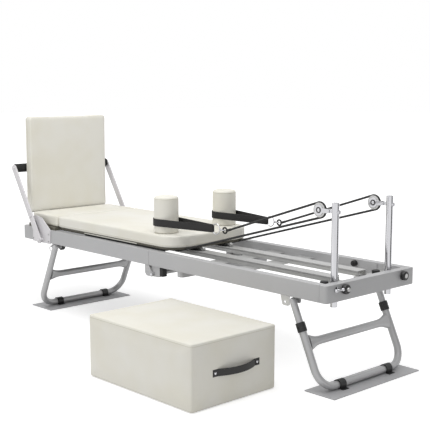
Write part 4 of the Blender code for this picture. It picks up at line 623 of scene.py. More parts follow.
def leg_bracket(pivot, start, end):
    """Plate on the rail's inner face with the leg's pivot pin and two bolt heads."""
    x, z = pivot
    outline = [(start + 0.006, z - 0.011), (end - 0.006, z - 0.011), (end, z - 0.005),
               (end, BRACKET_TOP), (start, BRACKET_TOP), (start, z - 0.005)]
    back = plate([outline], -RAIL_INNER - 0.0003, -RAIL_INNER + 0.0045, "Y")
    pin = rod((x, -RAIL_INNER + 0.002, z), (x, PIN_END_Y, z), 0.006)
    heads = [rod((bolt_x, -RAIL_INNER + 0.004, BOLT_Z), (bolt_x, -RAIL_INNER + 0.0075, BOLT_Z), 0.005)
             for bolt_x in (start + 0.012, end - 0.012)]
    return joined(back, pin, *heads)


head_bracket_x = (HEAD_PIVOT[0] - BRACKET_HALF_WIDTH, HEAD_PIVOT[0] + BRACKET_HALF_WIDTH)
head_rail = joined(rail(SPLIT_GAP, HEAD_RAIL_END), leg_bracket(HEAD_PIVOT, *head_bracket_x))
settle_both(head_rail, "head_rail_{}_skin", RAIL_SILVER, "head_frame", "head_rail_{}")
foot_rail = joined(rail(-FOOT_RAIL_END, -SPLIT_GAP), leg_bracket(FOOT_PIVOT, -0.927, -0.836))
settle_both(foot_rail, "foot_rail_{}_skin", RAIL_SILVER, "foot_frame", "foot_rail_{}")

# %% [markdown]
# Each end rail closes its half with two rounded corners. The cube's two outer upright
# edges are picked by their place and bevelled widely, since a wide bevel on every edge
# would round the top as well. The head end's rail is narrow, so that the posts can stand
# just behind it; the foot end's rail is twice as deep.

# %% End rails
END_CORNER = 0.014


def end_rail(side, depth):
    """End rail of the head half for side 1, of the foot half for side -1."""
    outer = side * HALF_LENGTH
    low, high = sorted((side * (HALF_LENGTH - depth), outer))
    piece = slab((low, -RAIL_OUTER, RAIL_BOTTOM), (high, RAIL_OUTER, RAIL_TOP), 0)
    take(piece)
    bpy.ops.object.mode_set(mode="EDIT")
    bpy.ops.mesh.select_mode(type="EDGE")
    bpy.ops.mesh.select_all(action="DESELECT")
    bpy.ops.object.mode_set(mode="OBJECT")
    world = piece.matrix_world
    for edge in piece.data.edges:
        ends = [world @ piece.data.vertices[index].co for index in edge.vertices]
        upright = abs(ends[0].z - ends[1].z) > 0.05
        edge.select = upright and abs(ends[0].x - ZERO.x - outer) < 0.001
    bpy.ops.object.mode_set(mode="EDIT")
    bpy.ops.mesh.bevel(offset=END_CORNER, segments=8)
    bpy.ops.object.mode_set(mode="OBJECT")
    return round_edges(piece, 0.0018, 3, 50)


settle(end_rail(1, 0.040), "head_end_rail_skin", RAIL_SILVER, "head_frame", "head_end_rail")
settle(end_rail(-1, 0.080), "foot_end_rail_skin", RAIL_SILVER, "foot_frame", "foot_end_rail")

# %% [markdown]
# Small black and bright trim sits on the head half: two rubber discs on the outer
# plate, a round stop on the far rail, and square rubber bumpers under the split that
# the halves meet on when folded. Slabs and turned pieces do for all of it.

# %% Trim on the head half
for side, sign in SIDES.items():
    disc = turned([(0.0165, 0), (0.0185, 0.0012), (0.0185, 0.0135), (0.0165, 0.0155), (0.003, 0.0158)],
                  (1.045, sign * 0.183, 0.4509), (0, 0, 1))
    settle(disc, f"rubber_disc_{side}", BLACK_RUBBER, "head_frame")
    low, high = sorted((sign * 0.2712, sign * 0.3008))
    bumper = slab((0.0745, low, 0.3560), (0.0978, high, 0.4008), 0.002)
    settle(bumper, f"fold_bumper_{side}", BLACK_RUBBER, "head_frame")
    cap = turned([(0.009, 0), (0.009, 0.002), (0.006, 0.0034), (0.002, 0.0036)],
                 (0.022, sign * 0.310, 0.3605), (0, sign, 0))
    settle(cap, f"hinge_cap_{side}", POST_CHROME, "head_frame")
stop = turned([(0.0145, 0), (0.0145, 0.016), (0.0125, 0.020), (0.006, 0.021), (0.0055, 0.0235),
               (0.002, 0.024)], (0.856, 0.2698, 0.461), (0, -1, 0))
settle(stop, "carriage_stop", BLACK_RUBBER, "head_frame")

# %% [markdown]
# Behind the near head leg hangs a light catch plate with a hooked lower end and a
# hole. A second outline inside the first makes the hole, which is simpler than cutting
# one with a boolean.

# %% Catch plate
left, right, foot = 0.870, 0.932, 0.3475
hook = [(left + 0.010, foot + 0.004), (left + 0.014, foot + 0.001), (left + 0.020, foot),
        (right - 0.020, foot), (right - 0.013, foot + 0.002), (right - 0.010, foot + 0.006),
        (right - 0.010, 0.392), (right + 0.010, 0.396), (right + 0.010, 0.424), (left, 0.424),
        (left, 0.384)]
catch = plate([hook, arc((left + 0.025, foot + 0.016), 0.006, 0, 345, 23)], -0.2703, -0.2655, "Y")
settle(catch, "catch_plate", CATCH_SILVER, "head_frame")

# %% [markdown]
# The legs are bent steel tubes with an oval crossbar whose ends flare where they are
# welded. The tube is swept along straight runs and quarter circles, so it stays equally
# thick through the bends. The crossbar is a turned piece with two radii per ring, which
# makes each ring an ellipse.

# %% Leg frames
HEAD_FOOT, FOOT_FOOT, FOOT_Z = 1.130, -1.0247, 0.0226
BEND = 0.090


def leg_lean(pivot, foot_x):
    run, drop = foot_x - pivot[0], pivot[1] - FOOT_Z
    lean = Matrix.Rotation(-math.atan2(run, drop), 4, "Y")
    return Matrix.Translation(at(pivot[0], 0, pivot[1])) @ lean, math.hypot(run, drop)


def placed(piece, matrix):
    """Lean a piece that was built upright at the origin."""
    apply_all(piece)
    piece.matrix_world = matrix @ Matrix.Translation(-ZERO)
    return apply_all(piece)


def side_frame(length, start):
    points = [(0, -LEG_SPACING, -start), (0, -LEG_SPACING, -(length - BEND + start) / 2)]
    points += [(0, y, z) for y, z in arc((BEND - LEG_SPACING, BEND - length), BEND, 180, 270, 16)]
    return tube_along(points + [(x, -y, z) for x, y, z in reversed(points)], LEG_RADIUS)


def crossbar(distance):
    flare = [(0.276, 0.036), (0.268, 0.0335), (0.256, 0.029), (0.244, 0.0245), (0.230, 0.0208),
             (0.212, 0.0188), (0.190, 0.0185)]
    rings = [(0.0165, depth, -y) for y, depth in flare]
    rings += [(0.0165, depth, y) for y, depth in reversed(flare)]
    return turned(rings, (0, 0, -distance), (0, 1, 0), 32)


def dome(radius, sign):
    rings = [(radius * math.sin(math.radians(angle)), radius * math.cos(math.radians(angle)))
             for angle in (4, 18, 36, 54, 72, 90)]
    return turned(rings, (0, sign * LEG_SPACING, 0), (0, 0, 1), 32)


head_place, head_length = leg_lean(HEAD_PIVOT, HEAD_FOOT)
foot_place, foot_length = leg_lean(FOOT_PIVOT, FOOT_FOOT)
head_leg = joined(side_frame(head_length, 0.0985), crossbar(0.1905))
settle(placed(head_leg, head_place), "head_leg_frame_skin", LEG_SILVER, "head_leg_frame", "head_leg_frame")
foot_leg = joined(side_frame(foot_length, 0.0), crossbar(0.195), dome(LEG_RADIUS, -1), dome(LEG_RADIUS, 1))
settle(placed(foot_leg, foot_place), "foot_leg_frame_skin", LEG_SILVER, "foot_leg", "foot_leg_frame")

# %% [markdown]
# On the head leg thinner tubes slide inside the lower frame, and black plastic collars
# clamp them. A collar is a sleeve with a softly rounded rim, a thin groove, a clamping
# block and a screw head. Its rings are turned as a closed section, which leaves the bore
# open for the tube without a boolean.

# %% Telescoping tubes and collars
for side, sign in SIDES.items():
    body = rod((0, sign * LEG_SPACING, 0.0), (0, sign * LEG_SPACING, -0.185), 0.0155)
    upper = placed(joined(body, dome(0.0155, sign)), head_place)
    settle(upper, f"head_leg_tube_{side}_skin", LEG_SILVER, "head_leg", f"head_leg_tube_{side}")
    rings = [(0.0178, 0), (0.0202, 0), (0.021, 0.0012), (0.021, 0.018), (0.0202, 0.019), (0.0202, 0.021),
             (0.021, 0.022), (0.021, 0.0408), (0.0202, 0.042), (0.0178, 0.042)]
    collar = turned(rings, (0, sign * LEG_SPACING, -0.1392), (0, 0, 1), 48, 0, closed=True)
    inner_y, outer_y = sorted((sign * (LEG_SPACING - 0.0185), sign * (LEG_SPACING - 0.0222)))
    clamp = slab((-0.010, inner_y, -0.136), (0.010, outer_y, -0.1005), 0.0025)
    inner_y, outer_y = sorted((sign * (LEG_SPACING + 0.0185), sign * (LEG_SPACING + 0.0245)))
    screw = rod((0, inner_y, -0.118), (0, outer_y, -0.118), 0.0055, 0.001)
    collar = placed(joined(collar, clamp, screw), head_place)
    settle(collar, f"leg_collar_{side}_skin", BLACK_PLASTIC, "head_leg_frame", f"leg_collar_{side}")

# %% [markdown]
# Each leg stands on a thin grey plate. Two black clips, folded over the tube like the
# letter omega, hold the tube to the plate. Seen from the side a clip is the same all
# through, so one outline with a thickness is enough.

# %% Floor plates and clips
PLATE_TOP = 0.005
CLIP_Y, CLIP_HALF_WIDTH = 0.165, 0.020


def omega_clip(tube_x, y):
    outer = arc((tube_x, FOOT_Z), 0.0228, -20, 200, 22)
    inner = arc((tube_x, FOOT_Z), 0.0179, 200, -20, 22)
    low, high = PLATE_TOP + 0.0002, PLATE_TOP + 0.0028
    right_foot = [(tube_x + 0.0170, low), (tube_x + 0.036, low), (tube_x + 0.036, high),
                  (tube_x + 0.0205, high)]
    left_foot = [(2 * tube_x - x, z) for x, z in reversed(right_foot)]
    outline = right_foot + outer + left_foot + inner
    return plate([outline], y - CLIP_HALF_WIDTH, y + CLIP_HALF_WIDTH, "Y", 0.0006)


def floor_plate(centre_x, length, width):
    return slab((centre_x - length / 2, -width / 2, 0.0), (centre_x + length / 2, width / 2, PLATE_TOP))


head_plate, foot_plate = floor_plate(1.131, 0.168, 0.608), floor_plate(-1.0196, 0.194, 0.587)
settle(head_plate, "head_floor_plate_skin", PLATE_GREY, "head_plate", "head_floor_plate")
settle(foot_plate, "foot_floor_plate_skin", PLATE_GREY, "foot_plate", "foot_floor_plate")
for body, tube_x in (("head_plate", HEAD_FOOT), ("foot_plate", FOOT_FOOT)):
    for side, sign in SIDES.items():
        settle(omega_clip(tube_x, sign * CLIP_Y), f"{body}_clip_{side}", BLACK_PLASTIC, body)

# %% [markdown]
# The near foot leg is locked by a sprung pin with a pull ring, and a black knob
# clamps its pivot from inside. The ring is a torus, which `wire_ring` adds. The knob is
# turned, with its grip's rounded rim in the list of rings.

# %% Leg lock pin and knob
LOCK_X, LOCK_Z = -0.905, 0.383
pin = rod((LOCK_X, -LEG_SPACING, LOCK_Z), (LOCK_X, -0.2565, LOCK_Z), 0.004)
ring = wire_ring((LOCK_X, -LEG_SPACING, LOCK_Z - 0.0135), 0.0145, 0.0018, 40, 12, tilt=90)
settle(joined(pin, ring), "foot_leg_lock_pin_skin", LEG_SILVER, "foot_leg_lock", "foot_leg_lock_pin")
rings = [(0.014, 0), (0.014, 0.004), (0.0205, 0.0042), (0.0235, 0.007), (0.0235, 0.0225), (0.0210, 0.0255),
         (0.014, 0.0260), (0.012, 0.0245), (0.003, 0.0245)]
knob = turned(rings, (FOOT_PIVOT[0], -0.2652, FOOT_PIVOT[1]), (0, 1, 0), 48)
settle(knob, "foot_leg_knob_skin", BLACK_PLASTIC, "foot_leg_knob", "foot_leg_knob")

# %% [markdown]
# A rope post is a chrome tube that stands in the end rail. At its top an eye bolt goes
# through it, with a nut outside, and carries the pulley block. A nut is only a turned
# piece with six sides. The bolt's flat tongue is a plate with a hole.

# %% Rope posts
POST_X, POST_Y, POST_FOOT_Z = 1.107, 0.190, 0.3646
PULLEY = (1.020, 0.777)
SWIVEL_X = 1.072
for side, sign in SIDES.items():
    y = sign * POST_Y
    rings = [(0.014, 0.010), (0.014, 0.0), (0.016, 0.0), (0.016, 0.4488), (0.0148, 0.4510),
             (0.012, 0.4518), (0.003, 0.4518)]
    tube = turned(rings, (POST_X, y, POST_FOOT_Z), (0, 0, 1), 48)
    bolt = rod((1.080, y, PULLEY[1]), (1.1348, y, PULLEY[1]), 0.005)
    nut = turned([(0.009, 0), (0.009, 0.008)], (1.1225, y, PULLEY[1]), (1, 0, 0), 6, 0.0006)
    tongue = plate([arc((SWIVEL_X, PULLEY[1]), 0.0074, 90, 270, 12) + [(1.0925, 0.7696), (1.0925, 0.7844)],
                    arc((SWIVEL_X, PULLEY[1]), 0.0034, 0, 340, 17)], y - 0.0065, y + 0.0065, "Y", 0.0006)
    post = joined(tube, bolt, nut, tongue)
    settle(post, f"post_{side}_skin", POST_CHROME, f"post_{side}", f"post_{side}")

# %% [markdown]
# The pulley wheel has a deep groove that the rope lies in. Its rings go up one side,
# down into the groove and up the other side. Two cheek plates hold the axle and swing
# on the eye bolt, and a thin black seal lies round the axle's cap on each cheek.

# %% Pulleys
for side, sign in SIDES.items():
    y = sign * POST_Y
    groove = [(0.0044, -0.007), (0.0300, -0.007), (0.0322, -0.0064), (0.0325, -0.0055), (0.0308, -0.0046),
              (0.0285, -0.0036), (0.0276, -0.0018), (0.0275, 0), (0.0276, 0.0018), (0.0285, 0.0036),
              (0.0308, 0.0046), (0.0325, 0.0055), (0.0322, 0.0064), (0.0300, 0.007), (0.0044, 0.007)]
    wheel = turned(groove, (PULLEY[0], y, PULLEY[1]), (0, 1, 0), 64, 0, closed=True)
    settle(wheel, f"pulley_wheel_{side}_skin", WHEEL_SILVER, f"pulley_wheel_{side}", f"pulley_wheel_{side}")
    outline = arc(PULLEY, 0.0235, 25, 335, 36)
    outline += [(1.060, 0.7675), (1.0755, 0.7685), (1.0795, 0.773), (1.0795, 0.781), (1.0755, 0.7855),
                (1.060, 0.7865)]
    cheeks = [plate([outline], y + low, y + low + 0.0025, "Y", 0.0005) for low in (-0.0099, 0.0074)]
    axle = rod((PULLEY[0], y - 0.0114, PULLEY[1]), (PULLEY[0], y + 0.0114, PULLEY[1]), 0.004)
    pin = rod((SWIVEL_X, y - 0.0114, PULLEY[1]), (SWIVEL_X, y + 0.0114, PULLEY[1]), 0.003)
    caps = [turned([(0.0072, 0), (0.0068, 0.0012), (0.003, 0.0018)],
                   (PULLEY[0], y + face * 0.0098, PULLEY[1]), (0, face, 0), 24) for face in (-1, 1)]
    block = joined(axle, pin, *cheeks, *caps)
    settle(block, f"pulley_block_{side}_skin", POST_CHROME, f"pulley_block_{side}", f"pulley_block_{side}")
    rings = [(0.0085, 0), (0.0085, 0.0007), (0.0135, 0.0007), (0.0135, 0)]
    seals = [turned(rings, (PULLEY[0], y + face * 0.0100, PULLEY[1]), (0, face, 0), 32, 0, closed=True)
             for face in (-1, 1)]
    settle(joined(*seals), f"pulley_seal_{side}", BLACK_RUBBER, f"pulley_block_{side}")

# %% [markdown]
# Black clamp knobs press the posts tight from the end rail's face. Each has a bright
# screw end in its middle. Beside the near knob a chrome T handle with two balls pulls
# the post's lock pin. The balls are added as spheres, since turned rings never quite
# close to a point.

# %% Clamp knobs and the T handle
KNOB_Z = 0.454
CENTRES = {
    "near": (-0.194, [(0.0095, 0.0176), (0.0095, 0.0255), (0.0080, 0.0280), (0.002, 0.0284)]),
    "far": (0.222, [(0.0105, 0.0176), (0.0105, 0.0212), (0.0095, 0.0222), (0.002, 0.0224)]),
}
for side, (y, centre_rings) in CENTRES.items():
    rings = [(0.0190, 0.0003), (0.0215, 0.003), (0.0215, 0.0165), (0.0200, 0.0196), (0.0160, 0.0208),
             (0.0140, 0.0200), (0.0125, 0.0185)]
    knob = turned(rings, (HALF_LENGTH, y, KNOB_Z), (1, 0, 0), 48)
    stem = rod((HALF_LENGTH - 0.034, y, KNOB_Z), (HALF_LENGTH + 0.004, y, KNOB_Z), 0.003)
    body = f"post_knob_{side}"
    settle(joined(knob, stem), f"{body}_skin", BLACK_PLASTIC, body, body)
    centre = turned(centre_rings, (HALF_LENGTH, y, KNOB_Z), (1, 0, 0), 32)
    settle(centre, f"knob_screw_{side}", WHEEL_SILVER, body)
HANDLE_REACH = 0.0185
HANDLE_X, HANDLE_Y, HANDLE_Z = HALF_LENGTH + HANDLE_REACH, -0.2465, 0.458
rings = [(0.004, -0.015), (0.004, 0.0004), (0.0125, 0.0004), (0.0125, 0.0040), (0.0095, 0.0050),
         (0.005, 0.0062), (0.004, HANDLE_REACH)]
stem = turned(rings, (HALF_LENGTH, HANDLE_Y, HANDLE_Z), (1, 0, 0), 32)
ends = (HANDLE_Y - 0.022, HANDLE_Y + 0.022)
bar = rod((HANDLE_X, ends[0], HANDLE_Z), (HANDLE_X, ends[1], HANDLE_Z), 0.0032)
parts = [stem, bar]
for y in ends:
    fresh()
    bpy.ops.mesh.primitive_uv_sphere_add(
        segments=32, ring_count=16, radius=0.0075, location=at(HANDLE_X, y, HANDLE_Z))
    parts.append(bpy.context.object)
settle(joined(*parts), "post_lock_pin_skin", POST_CHROME, "post_lock", "post_lock_pin", smooth=50)

# %% [markdown]
# The cushions are foam under tight leather. Each starts as a block that is slightly
# too small. A voxel remesh gives it even cells, and a cloth simulation with inner
# pressure swells it for twenty frames. How far a point may move is capped, and points
# on the board side stay put, so the pad keeps its size and sits flat.

# %% Inflating a cushion
SWELL_FRAMES = 20
SWELL_CAP = 0.0022
HELD_DEPTH = 0.012


def stuffed(piece, voxel, seat, out):
    """Remesh, swell and smooth a block that sits on a board at seat and faces out."""
    apply_all(piece)
    step = piece.modifiers.new("cells", "REMESH")
    step.mode = "VOXEL"
    step.voxel_size = voxel * 1.0
    apply_all(piece)
    rest = [vertex.co.copy() for vertex in piece.data.vertices]
    cloth = piece.modifiers.new("cloth", "CLOTH")
    cloth.settings.quality = 4
    cloth.settings.use_pressure = True
    cloth.settings.uniform_pressure_force = 4.0
    cloth.settings.effector_weights.gravity = 0
    cloth.point_cache.frame_start = 1
    cloth.point_cache.frame_end = SWELL_FRAMES
    for number in range(1, SWELL_FRAMES + 1):
        bpy.context.scene.frame_set(number)
    graph = bpy.context.evaluated_depsgraph_get()
    swollen = piece.evaluated_get(graph).to_mesh()
    ends = [vertex.co.copy() for vertex in swollen.vertices]
    piece.evaluated_get(graph).to_mesh_clear()
    piece.modifiers.remove(cloth)
    bpy.context.scene.frame_set(1)
    for vertex, start, end in zip(piece.data.vertices, rest, ends):
        move = end - start
        if move.length > SWELL_CAP:
            move = move.normalized() * SWELL_CAP
        height = (start - seat).dot(out)
        share = min(max(height / HELD_DEPTH, 0.0), 1.0)
        vertex.co = start + move * share
    relax = piece.modifiers.new("relax", "SMOOTH")
    relax.factor = 0.5
    relax.iterations = 6
    step = piece.modifiers.new("skin", "SUBSURF")
    step.levels = 1
    step.render_levels = 1
    return apply_all(piece)


print("inflating ready")

# %% [markdown]
# The block under the leather is a filled outline with thickness. Tight leather pulls
# the sides in a little between the corners, so `rounded` draws them slightly hollow.

# %% Block under the leather
def soft_block(outline, low, high, edge):
    """Block with a rounded plan, whose upper rim is rounded and drawn in."""
    made = curve_object([outline], cyclic=True, flat=True)
    made.data.fill_mode = "BOTH"
    made.data.extrude = (high - low) / 2
    made.location = ZERO + Vector((0, 0, (low + high) / 2))
    return round_edges(as_mesh(made), edge, 5, 50)


def rounded(low, high, radii, draw_in=0.0015, steps=8):
    """Rectangle with its four corners rounded and its sides drawn in a little."""
    corners = [(low[0], low[1]), (high[0], low[1]), (high[0], high[1]), (low[0], high[1])]
    inward = [(1, 1), (-1, 1), (-1, -1), (1, -1)]
    side_in = [(0, 1), (-1, 0), (0, -1), (1, 0)]
    points = []
    for index in range(4):
        radius = radii[index]
        centre = (corners[index][0] + inward[index][0] * radius,
                  corners[index][1] + inward[index][1] * radius)
        points += arc(centre, radius, 180 + 90 * index, 270 + 90 * index, steps)
        start = points[-1]
        after = (index + 1) % 4
        goal = (corners[after][0] - corners[index][0], corners[after][1] - corners[index][1])
        length = math.hypot(*goal)
        run = length - radius - radii[after]
        for number in range(1, 6):
            share = number / 6
            pull = draw_in * 4 * share * (1 - share)
            points.append((start[0] + goal[0] / length * run * share + side_in[index][0] * pull,
                           start[1] + goal[1] / length * run * share + side_in[index][1] * pull))
    return points


print("cushion tools ready")

# %% [markdown]
# A line of piping marks where the top panel is sewn to the side panel. To lie on the
# swollen leather it is dropped onto it: from each point of the outline a ray is cast
# sideways at the seam's height, and the cord goes where the ray lands.

# %% Laying a seam
def seam_points(piece, outline, level, sink, turn=None):
    """Points where an outline at a level meets the cushion, moved in by sink."""
    tree = BVHTree.FromObject(piece, bpy.context.evaluated_depsgraph_get())
    points = []
    count = len(outline)
    for index, (x, y) in enumerate(outline):
        before, after = outline[index - 1], outline[(index + 1) % count]
        outward = Vector((after[1] - before[1], before[0] - after[0], 0)).normalized()
        start = Vector((x, y, level)) + outward * 0.03
        direction = -outward
        if turn:
            start, direction = turn @ start, turn.to_3x3() @ direction
        hit = tree.ray_cast(start + ZERO, direction, 0.06)[0]
        if hit is not None:
            points.append(tuple(hit - ZERO + direction * sink))
    return points


def resampled(outline, spacing):
    points = []
    count = len(outline)
    for index, first in enumerate(outline):
        second = outline[(index + 1) % count]
        length = math.hypot(second[0] - first[0], second[1] - first[1])
        pieces = max(1, round(length / spacing))
        for number in range(pieces):
            share = number / pieces
            points.append((first[0] + (second[0] - first[0]) * share,
                           first[1] + (second[1] - first[1]) * share))
    return points


print("seam tool ready")

# %% [markdown]
# One call then makes a whole cushion: the block, its swelling, its leather and its
# piping. An upright cushion is made lying down and turned before it swells.

# %% A whole cushion
def cushion(name, outline, low, high, body, seam_name, seam_level,
            edge=0.0075, voxel=0.006, piping=0.0013, sink=0.0003, turn=None):
    """Leather block from low to high that stands for the node of its name."""
    pad = soft_block(outline, low, high, edge)
    out = Vector((0, 0, 1))
    if turn:
        apply_all(pad)
        pad.matrix_world = Matrix.Translation(ZERO) @ turn @ Matrix.Translation(-ZERO)
        out = turn.to_3x3() @ out
    pad = stuffed(pad, voxel, at(*(out * low)), out)
    pad = settle(pad, f"{name}_skin", CREAM_LEATHER, body, name, smooth=60)
    line = seam_points(pad, resampled(outline, 0.012), seam_level, sink, turn)
    settle(tube_along(line, piping, cyclic=True, resolution=3), seam_name, PIPING, body)


print("cushion maker ready")

# %% [markdown]
# The carriage pad is the long one: round at the head end where the user's shoulders
# lie, square at the foot end where it meets the platform pad. Below it show the edge
# of its board, with a pale strip of painted light in the middle, where light reaches that edge,
# and thin black sheets of painted shade beside the rollers, where the well under the pad lies in shade.
# They are thin, but without them the pad would seem to float over the rails.

# %% Carriage pad and platform pad
PAD_TOP, PAD_SEAM = 0.5608, 0.5115
carriage_outline = rounded((-0.8440, -0.2850), (0.1585, 0.2850), (0.010, 0.115, 0.115, 0.010))
cushion("carriage_pad", carriage_outline, 0.4999, PAD_TOP, "carriage", "carriage_pad_seam", PAD_SEAM)
board_outline = rounded((-0.836, -0.2740), (0.150, 0.2740), (0.010, 0.106, 0.106, 0.010), 0)
settle(plate([board_outline], 0.4902, 0.4998, "Z"), "carriage_pad_board", BOARD, "carriage")
# Painted light: a pale strip on the board's edge, only over the middle, where light reaches that edge.
strips = slab_pair((-0.600, -0.2752, 0.4905), (-0.140, -0.2725, 0.4962), 0.0006)
settle(strips, "carriage_painted_lit_strips", LIT_EDGE_PAINT, "carriage")
# Painted shade: thin black sheets beside the rollers, where the well between rail and track lies in shade
# under the pad.
shade_sheets = slab_pair((-0.610, -0.2655, 0.4735), (0.075, -0.2624, 0.4900), 0.0006)
settle(shade_sheets, "carriage_painted_shade_sheets", BLACK_RUBBER, "carriage")
platform_outline = rounded((-1.1170, -0.2850), (-0.8510, 0.2850), (0.030, 0.012, 0.012, 0.030))
cushion("platform_pad", platform_outline, 0.4992, PAD_TOP, "foot_frame", "platform_pad_seam", PAD_SEAM)

# %% [markdown]
# The jump board stands upright behind the platform. Its cover wraps round the edges of
# the black panel, so that the panel only shows at the back. Two pegs below the panel
# drop into the frame.

# %% Jump board
jump_outline = rounded((-0.2770, 0.5530), (0.2715, 1.1170), (0.016,) * 4)
cushion("jump_board_pad", jump_outline, -1.1780, -1.1240, "jump_board", "jump_board_seam", -1.1560,
        edge=0.0065, turn=PLATE_TURN["X"])
PANEL_FOOT = 0.5485
panel_outline = rounded((-0.262, PANEL_FOOT), (0.262, 1.1016), (0.018,) * 4, 0)
panel = plate([panel_outline], -1.1795, -1.1675, "X", 0.0012)
flange = slab((-1.1785, -0.150, PANEL_FOOT), (-1.158, 0.150, 0.5525))
pegs = [rod((-1.150, y, 0.4073), (-1.150, y, PANEL_FOOT + 0.0005), 0.009) for y in (-0.120, 0.120)]
settle(joined(panel, flange, *pegs), "jump_board_skin", BLACK_PLASTIC, "jump_board", "jump_board")

# %% [markdown]
# The shoulder rests are padded drums on a peg. Leather is wrapped round the drum and
# sewn to a round top, with a ring of piping along the edge. They could be inflated like
# the pads, but a round drum swells evenly, so turned rings give the same form and stay
# perfectly round.

# %% Shoulder rests
REST, REST_BASE = (0.014, 0.2035), 0.5633
for side, sign in SIDES.items():
    centre = (REST[0], sign * REST[1])
    rings = [(0.0585, 0.0000), (0.0612, 0.0016), (0.0624, 0.0050), (0.0628, 0.0400), (0.0630, 0.0935),
             (0.0629, 0.1450), (0.0626, 0.1700), (0.0616, 0.1768), (0.0588, 0.1822), (0.0540, 0.1854),
             (0.0470, 0.1868), (0.0220, 0.1872), (0.0040, 0.1872)]
    drum = turned(rings, (*centre, REST_BASE), (0, 0, 1), 64)
    step = drum.modifiers.new("skin", "SUBSURF")
    step.levels = 1
    step.render_levels = 1
    peg = rod((*centre, 0.4856), (*centre, REST_BASE + 0.0007), 0.010)
    drum = settle(joined(drum, peg), f"shoulder_rest_{side}_skin", CREAM_LEATHER,
                  f"shoulder_rest_{side}", f"shoulder_rest_{side}", smooth=60)
    rim = [(x, y, REST_BASE + 0.1735) for x, y in arc(centre, 0.0621, 0, 355, 71)]
    seam = tube_along(rim, 0.0012, cyclic=True, resolution=3)
    settle(seam, f"rest_seam_{side}", PIPING, f"shoulder_rest_{side}")

# %% [markdown]
# The strap is one loop of webbing round the rest that runs on to a narrow tip, where
# the wire ring hangs in it. It is built as a closed outline with an inner outline,
# and two raised lines of stitching run along it.

# %% Straps and rings
ROPE_Y = POST_Y
TIP_X = 0.3520
STRAP_LOW, STRAP_HIGH = 0.600, 0.637
RING, RING_RADIUS = (0.3685, 0.6185), 0.0255
HOOK_X = 0.4213


def strap_outline(sign, radius=0.0671, half_tip=0.0088, tip_x=TIP_X):
    """Loop round the rest and out to the tip: two arcs and the straight runs between them."""
    centre, tip = (REST[0], sign * REST[1]), (tip_x, sign * ROPE_Y)
    run = (tip[0] - centre[0], tip[1] - centre[1])
    heading = math.degrees(math.atan2(run[1], run[0]))
    spread = math.degrees(math.acos((radius - half_tip) / math.hypot(*run)))
    points = arc(centre, radius, heading + spread, heading + 360 - spread, 60)
    points += arc((tip[0] - half_tip, tip[1]), half_tip, heading - spread, heading + spread, 8)
    return points


blends = []
for side, sign in SIDES.items():
    outer = resampled(strap_outline(sign), 0.012)
    inner = resampled(strap_outline(sign, 0.0636, 0.0053, TIP_X - 0.0035), 0.012)
    band = plate([outer, inner], STRAP_LOW, STRAP_HIGH, "Z", 0.0007)
    blends.append(settle(band, f"strap_{side}_skin", BLACK_WEBBING, None, f"strap_{side}", smooth=50))
    lines = []
    for level in (STRAP_LOW + 0.004, STRAP_HIGH - 0.004):
        path = [(x, y, level) for x, y in resampled(strap_outline(sign), 0.006)]
        lines.append(tube_along(path, 0.0005, cyclic=True, resolution=1))
    blends.append(settle(joined(*lines), f"strap_stitching_{side}", ROPE, None))
    y = sign * ROPE_Y
    hoop = wire_ring((RING[0], y, RING[1]), RING_RADIUS, 0.0025, 64, 16, tilt=90)
    rings = [(0.0035, 0), (0.0052, 0.0010), (0.0052, 0.0090), (0.0040, 0.0100), (0.0040, 0.0170),
             (0.0030, 0.0190)]
    shank = turned(rings, (RING[0] + RING_RADIUS, y, RING[1]), (1, 0, 0), 24)
    hook = wire_ring((HOOK_X, y, RING[1]), 0.0072, 0.0022, 40, 12)
    ring = joined(hoop, shank, hook)
    blends.append(settle(ring, f"strap_ring_{side}_skin", POST_CHROME, None, f"strap_ring_{side}"))

# %% [markdown]
# The rope runs taut from the ring to the top of the pulley, round the back of the
# wheel and down to the carriage. Its centre line is two tangents and an arc. At the
# ring it ends in a small eye, and a short black sleeve covers the eye's joint.

# %% Ropes
ROPE_RADIUS = 0.0052
GROOVE = 0.0275 + ROPE_RADIUS + 0.0003
EYE_X, EYE_RADIUS = 0.4300, 0.0135
start = (EYE_X + EYE_RADIUS - 0.001, RING[1])
cleat = (0.0703, 0.4760)
settled = [(0.0903, 0.4770), (0.1153, 0.4823)]


def tangent(point, over):
    """Direction from the pulley to where a line from a point meets it, over or under the wheel."""
    heading = math.degrees(math.atan2(PULLEY[1] - point[1], PULLEY[0] - point[0]))
    reach = math.hypot(PULLEY[0] - point[0], PULLEY[1] - point[1])
    return heading + over * math.degrees(math.asin(GROOVE / reach)) + over * 90


def run(first, last, count):
    across, up = last[0] - first[0], last[1] - first[1]
    return [(first[0] + across * step / count, first[1] + up * step / count) for step in range(count)]


wrap = arc(PULLEY, GROOVE, tangent(start, 1), tangent(settled[1], -1), 28)
route = run(start, wrap[0], 60) + wrap + run(wrap[-1], settled[1], 90)[1:] + [settled[1], settled[0], cleat]
heading = (Vector(wrap[0]) - Vector(start)).normalized() * 0.030
for side, sign in SIDES.items():
    y = sign * ROPE_Y
    cord = tube_along([(x, y, z) for x, z in route], ROPE_RADIUS, resolution=4)
    eye = [(x, y, z) for x, z in arc((EYE_X, RING[1]), EYE_RADIUS, 0, 350, 35)]
    cord = joined(cord, tube_along(eye, 0.0042, cyclic=True, resolution=4))
    blends.append(settle(cord, f"rope_{side}_skin", ROPE, None, f"rope_{side}", smooth=60))
    grip_end = (start[0] + heading.x, y, start[1] + heading.y)
    grip = rod((start[0] - 0.001, y, start[1]), grip_end, 0.0062, 0.001)
    blends.append(settle(grip, f"rope_sleeve_{side}", BLACK_RUBBER, None))

# %% [markdown]
# Straps, rings and ropes stretch between the rolling carriage and the posts on the
# head half. They could ride on the carriage as a whole, but would then leave the
# pulleys. Here they ride on no body: each stays where it is in the scene, with its
# place baked into its mesh.

# %% Bake the straps and ropes in place
for piece in blends:
    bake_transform(piece)
print("blended:", len(blends))
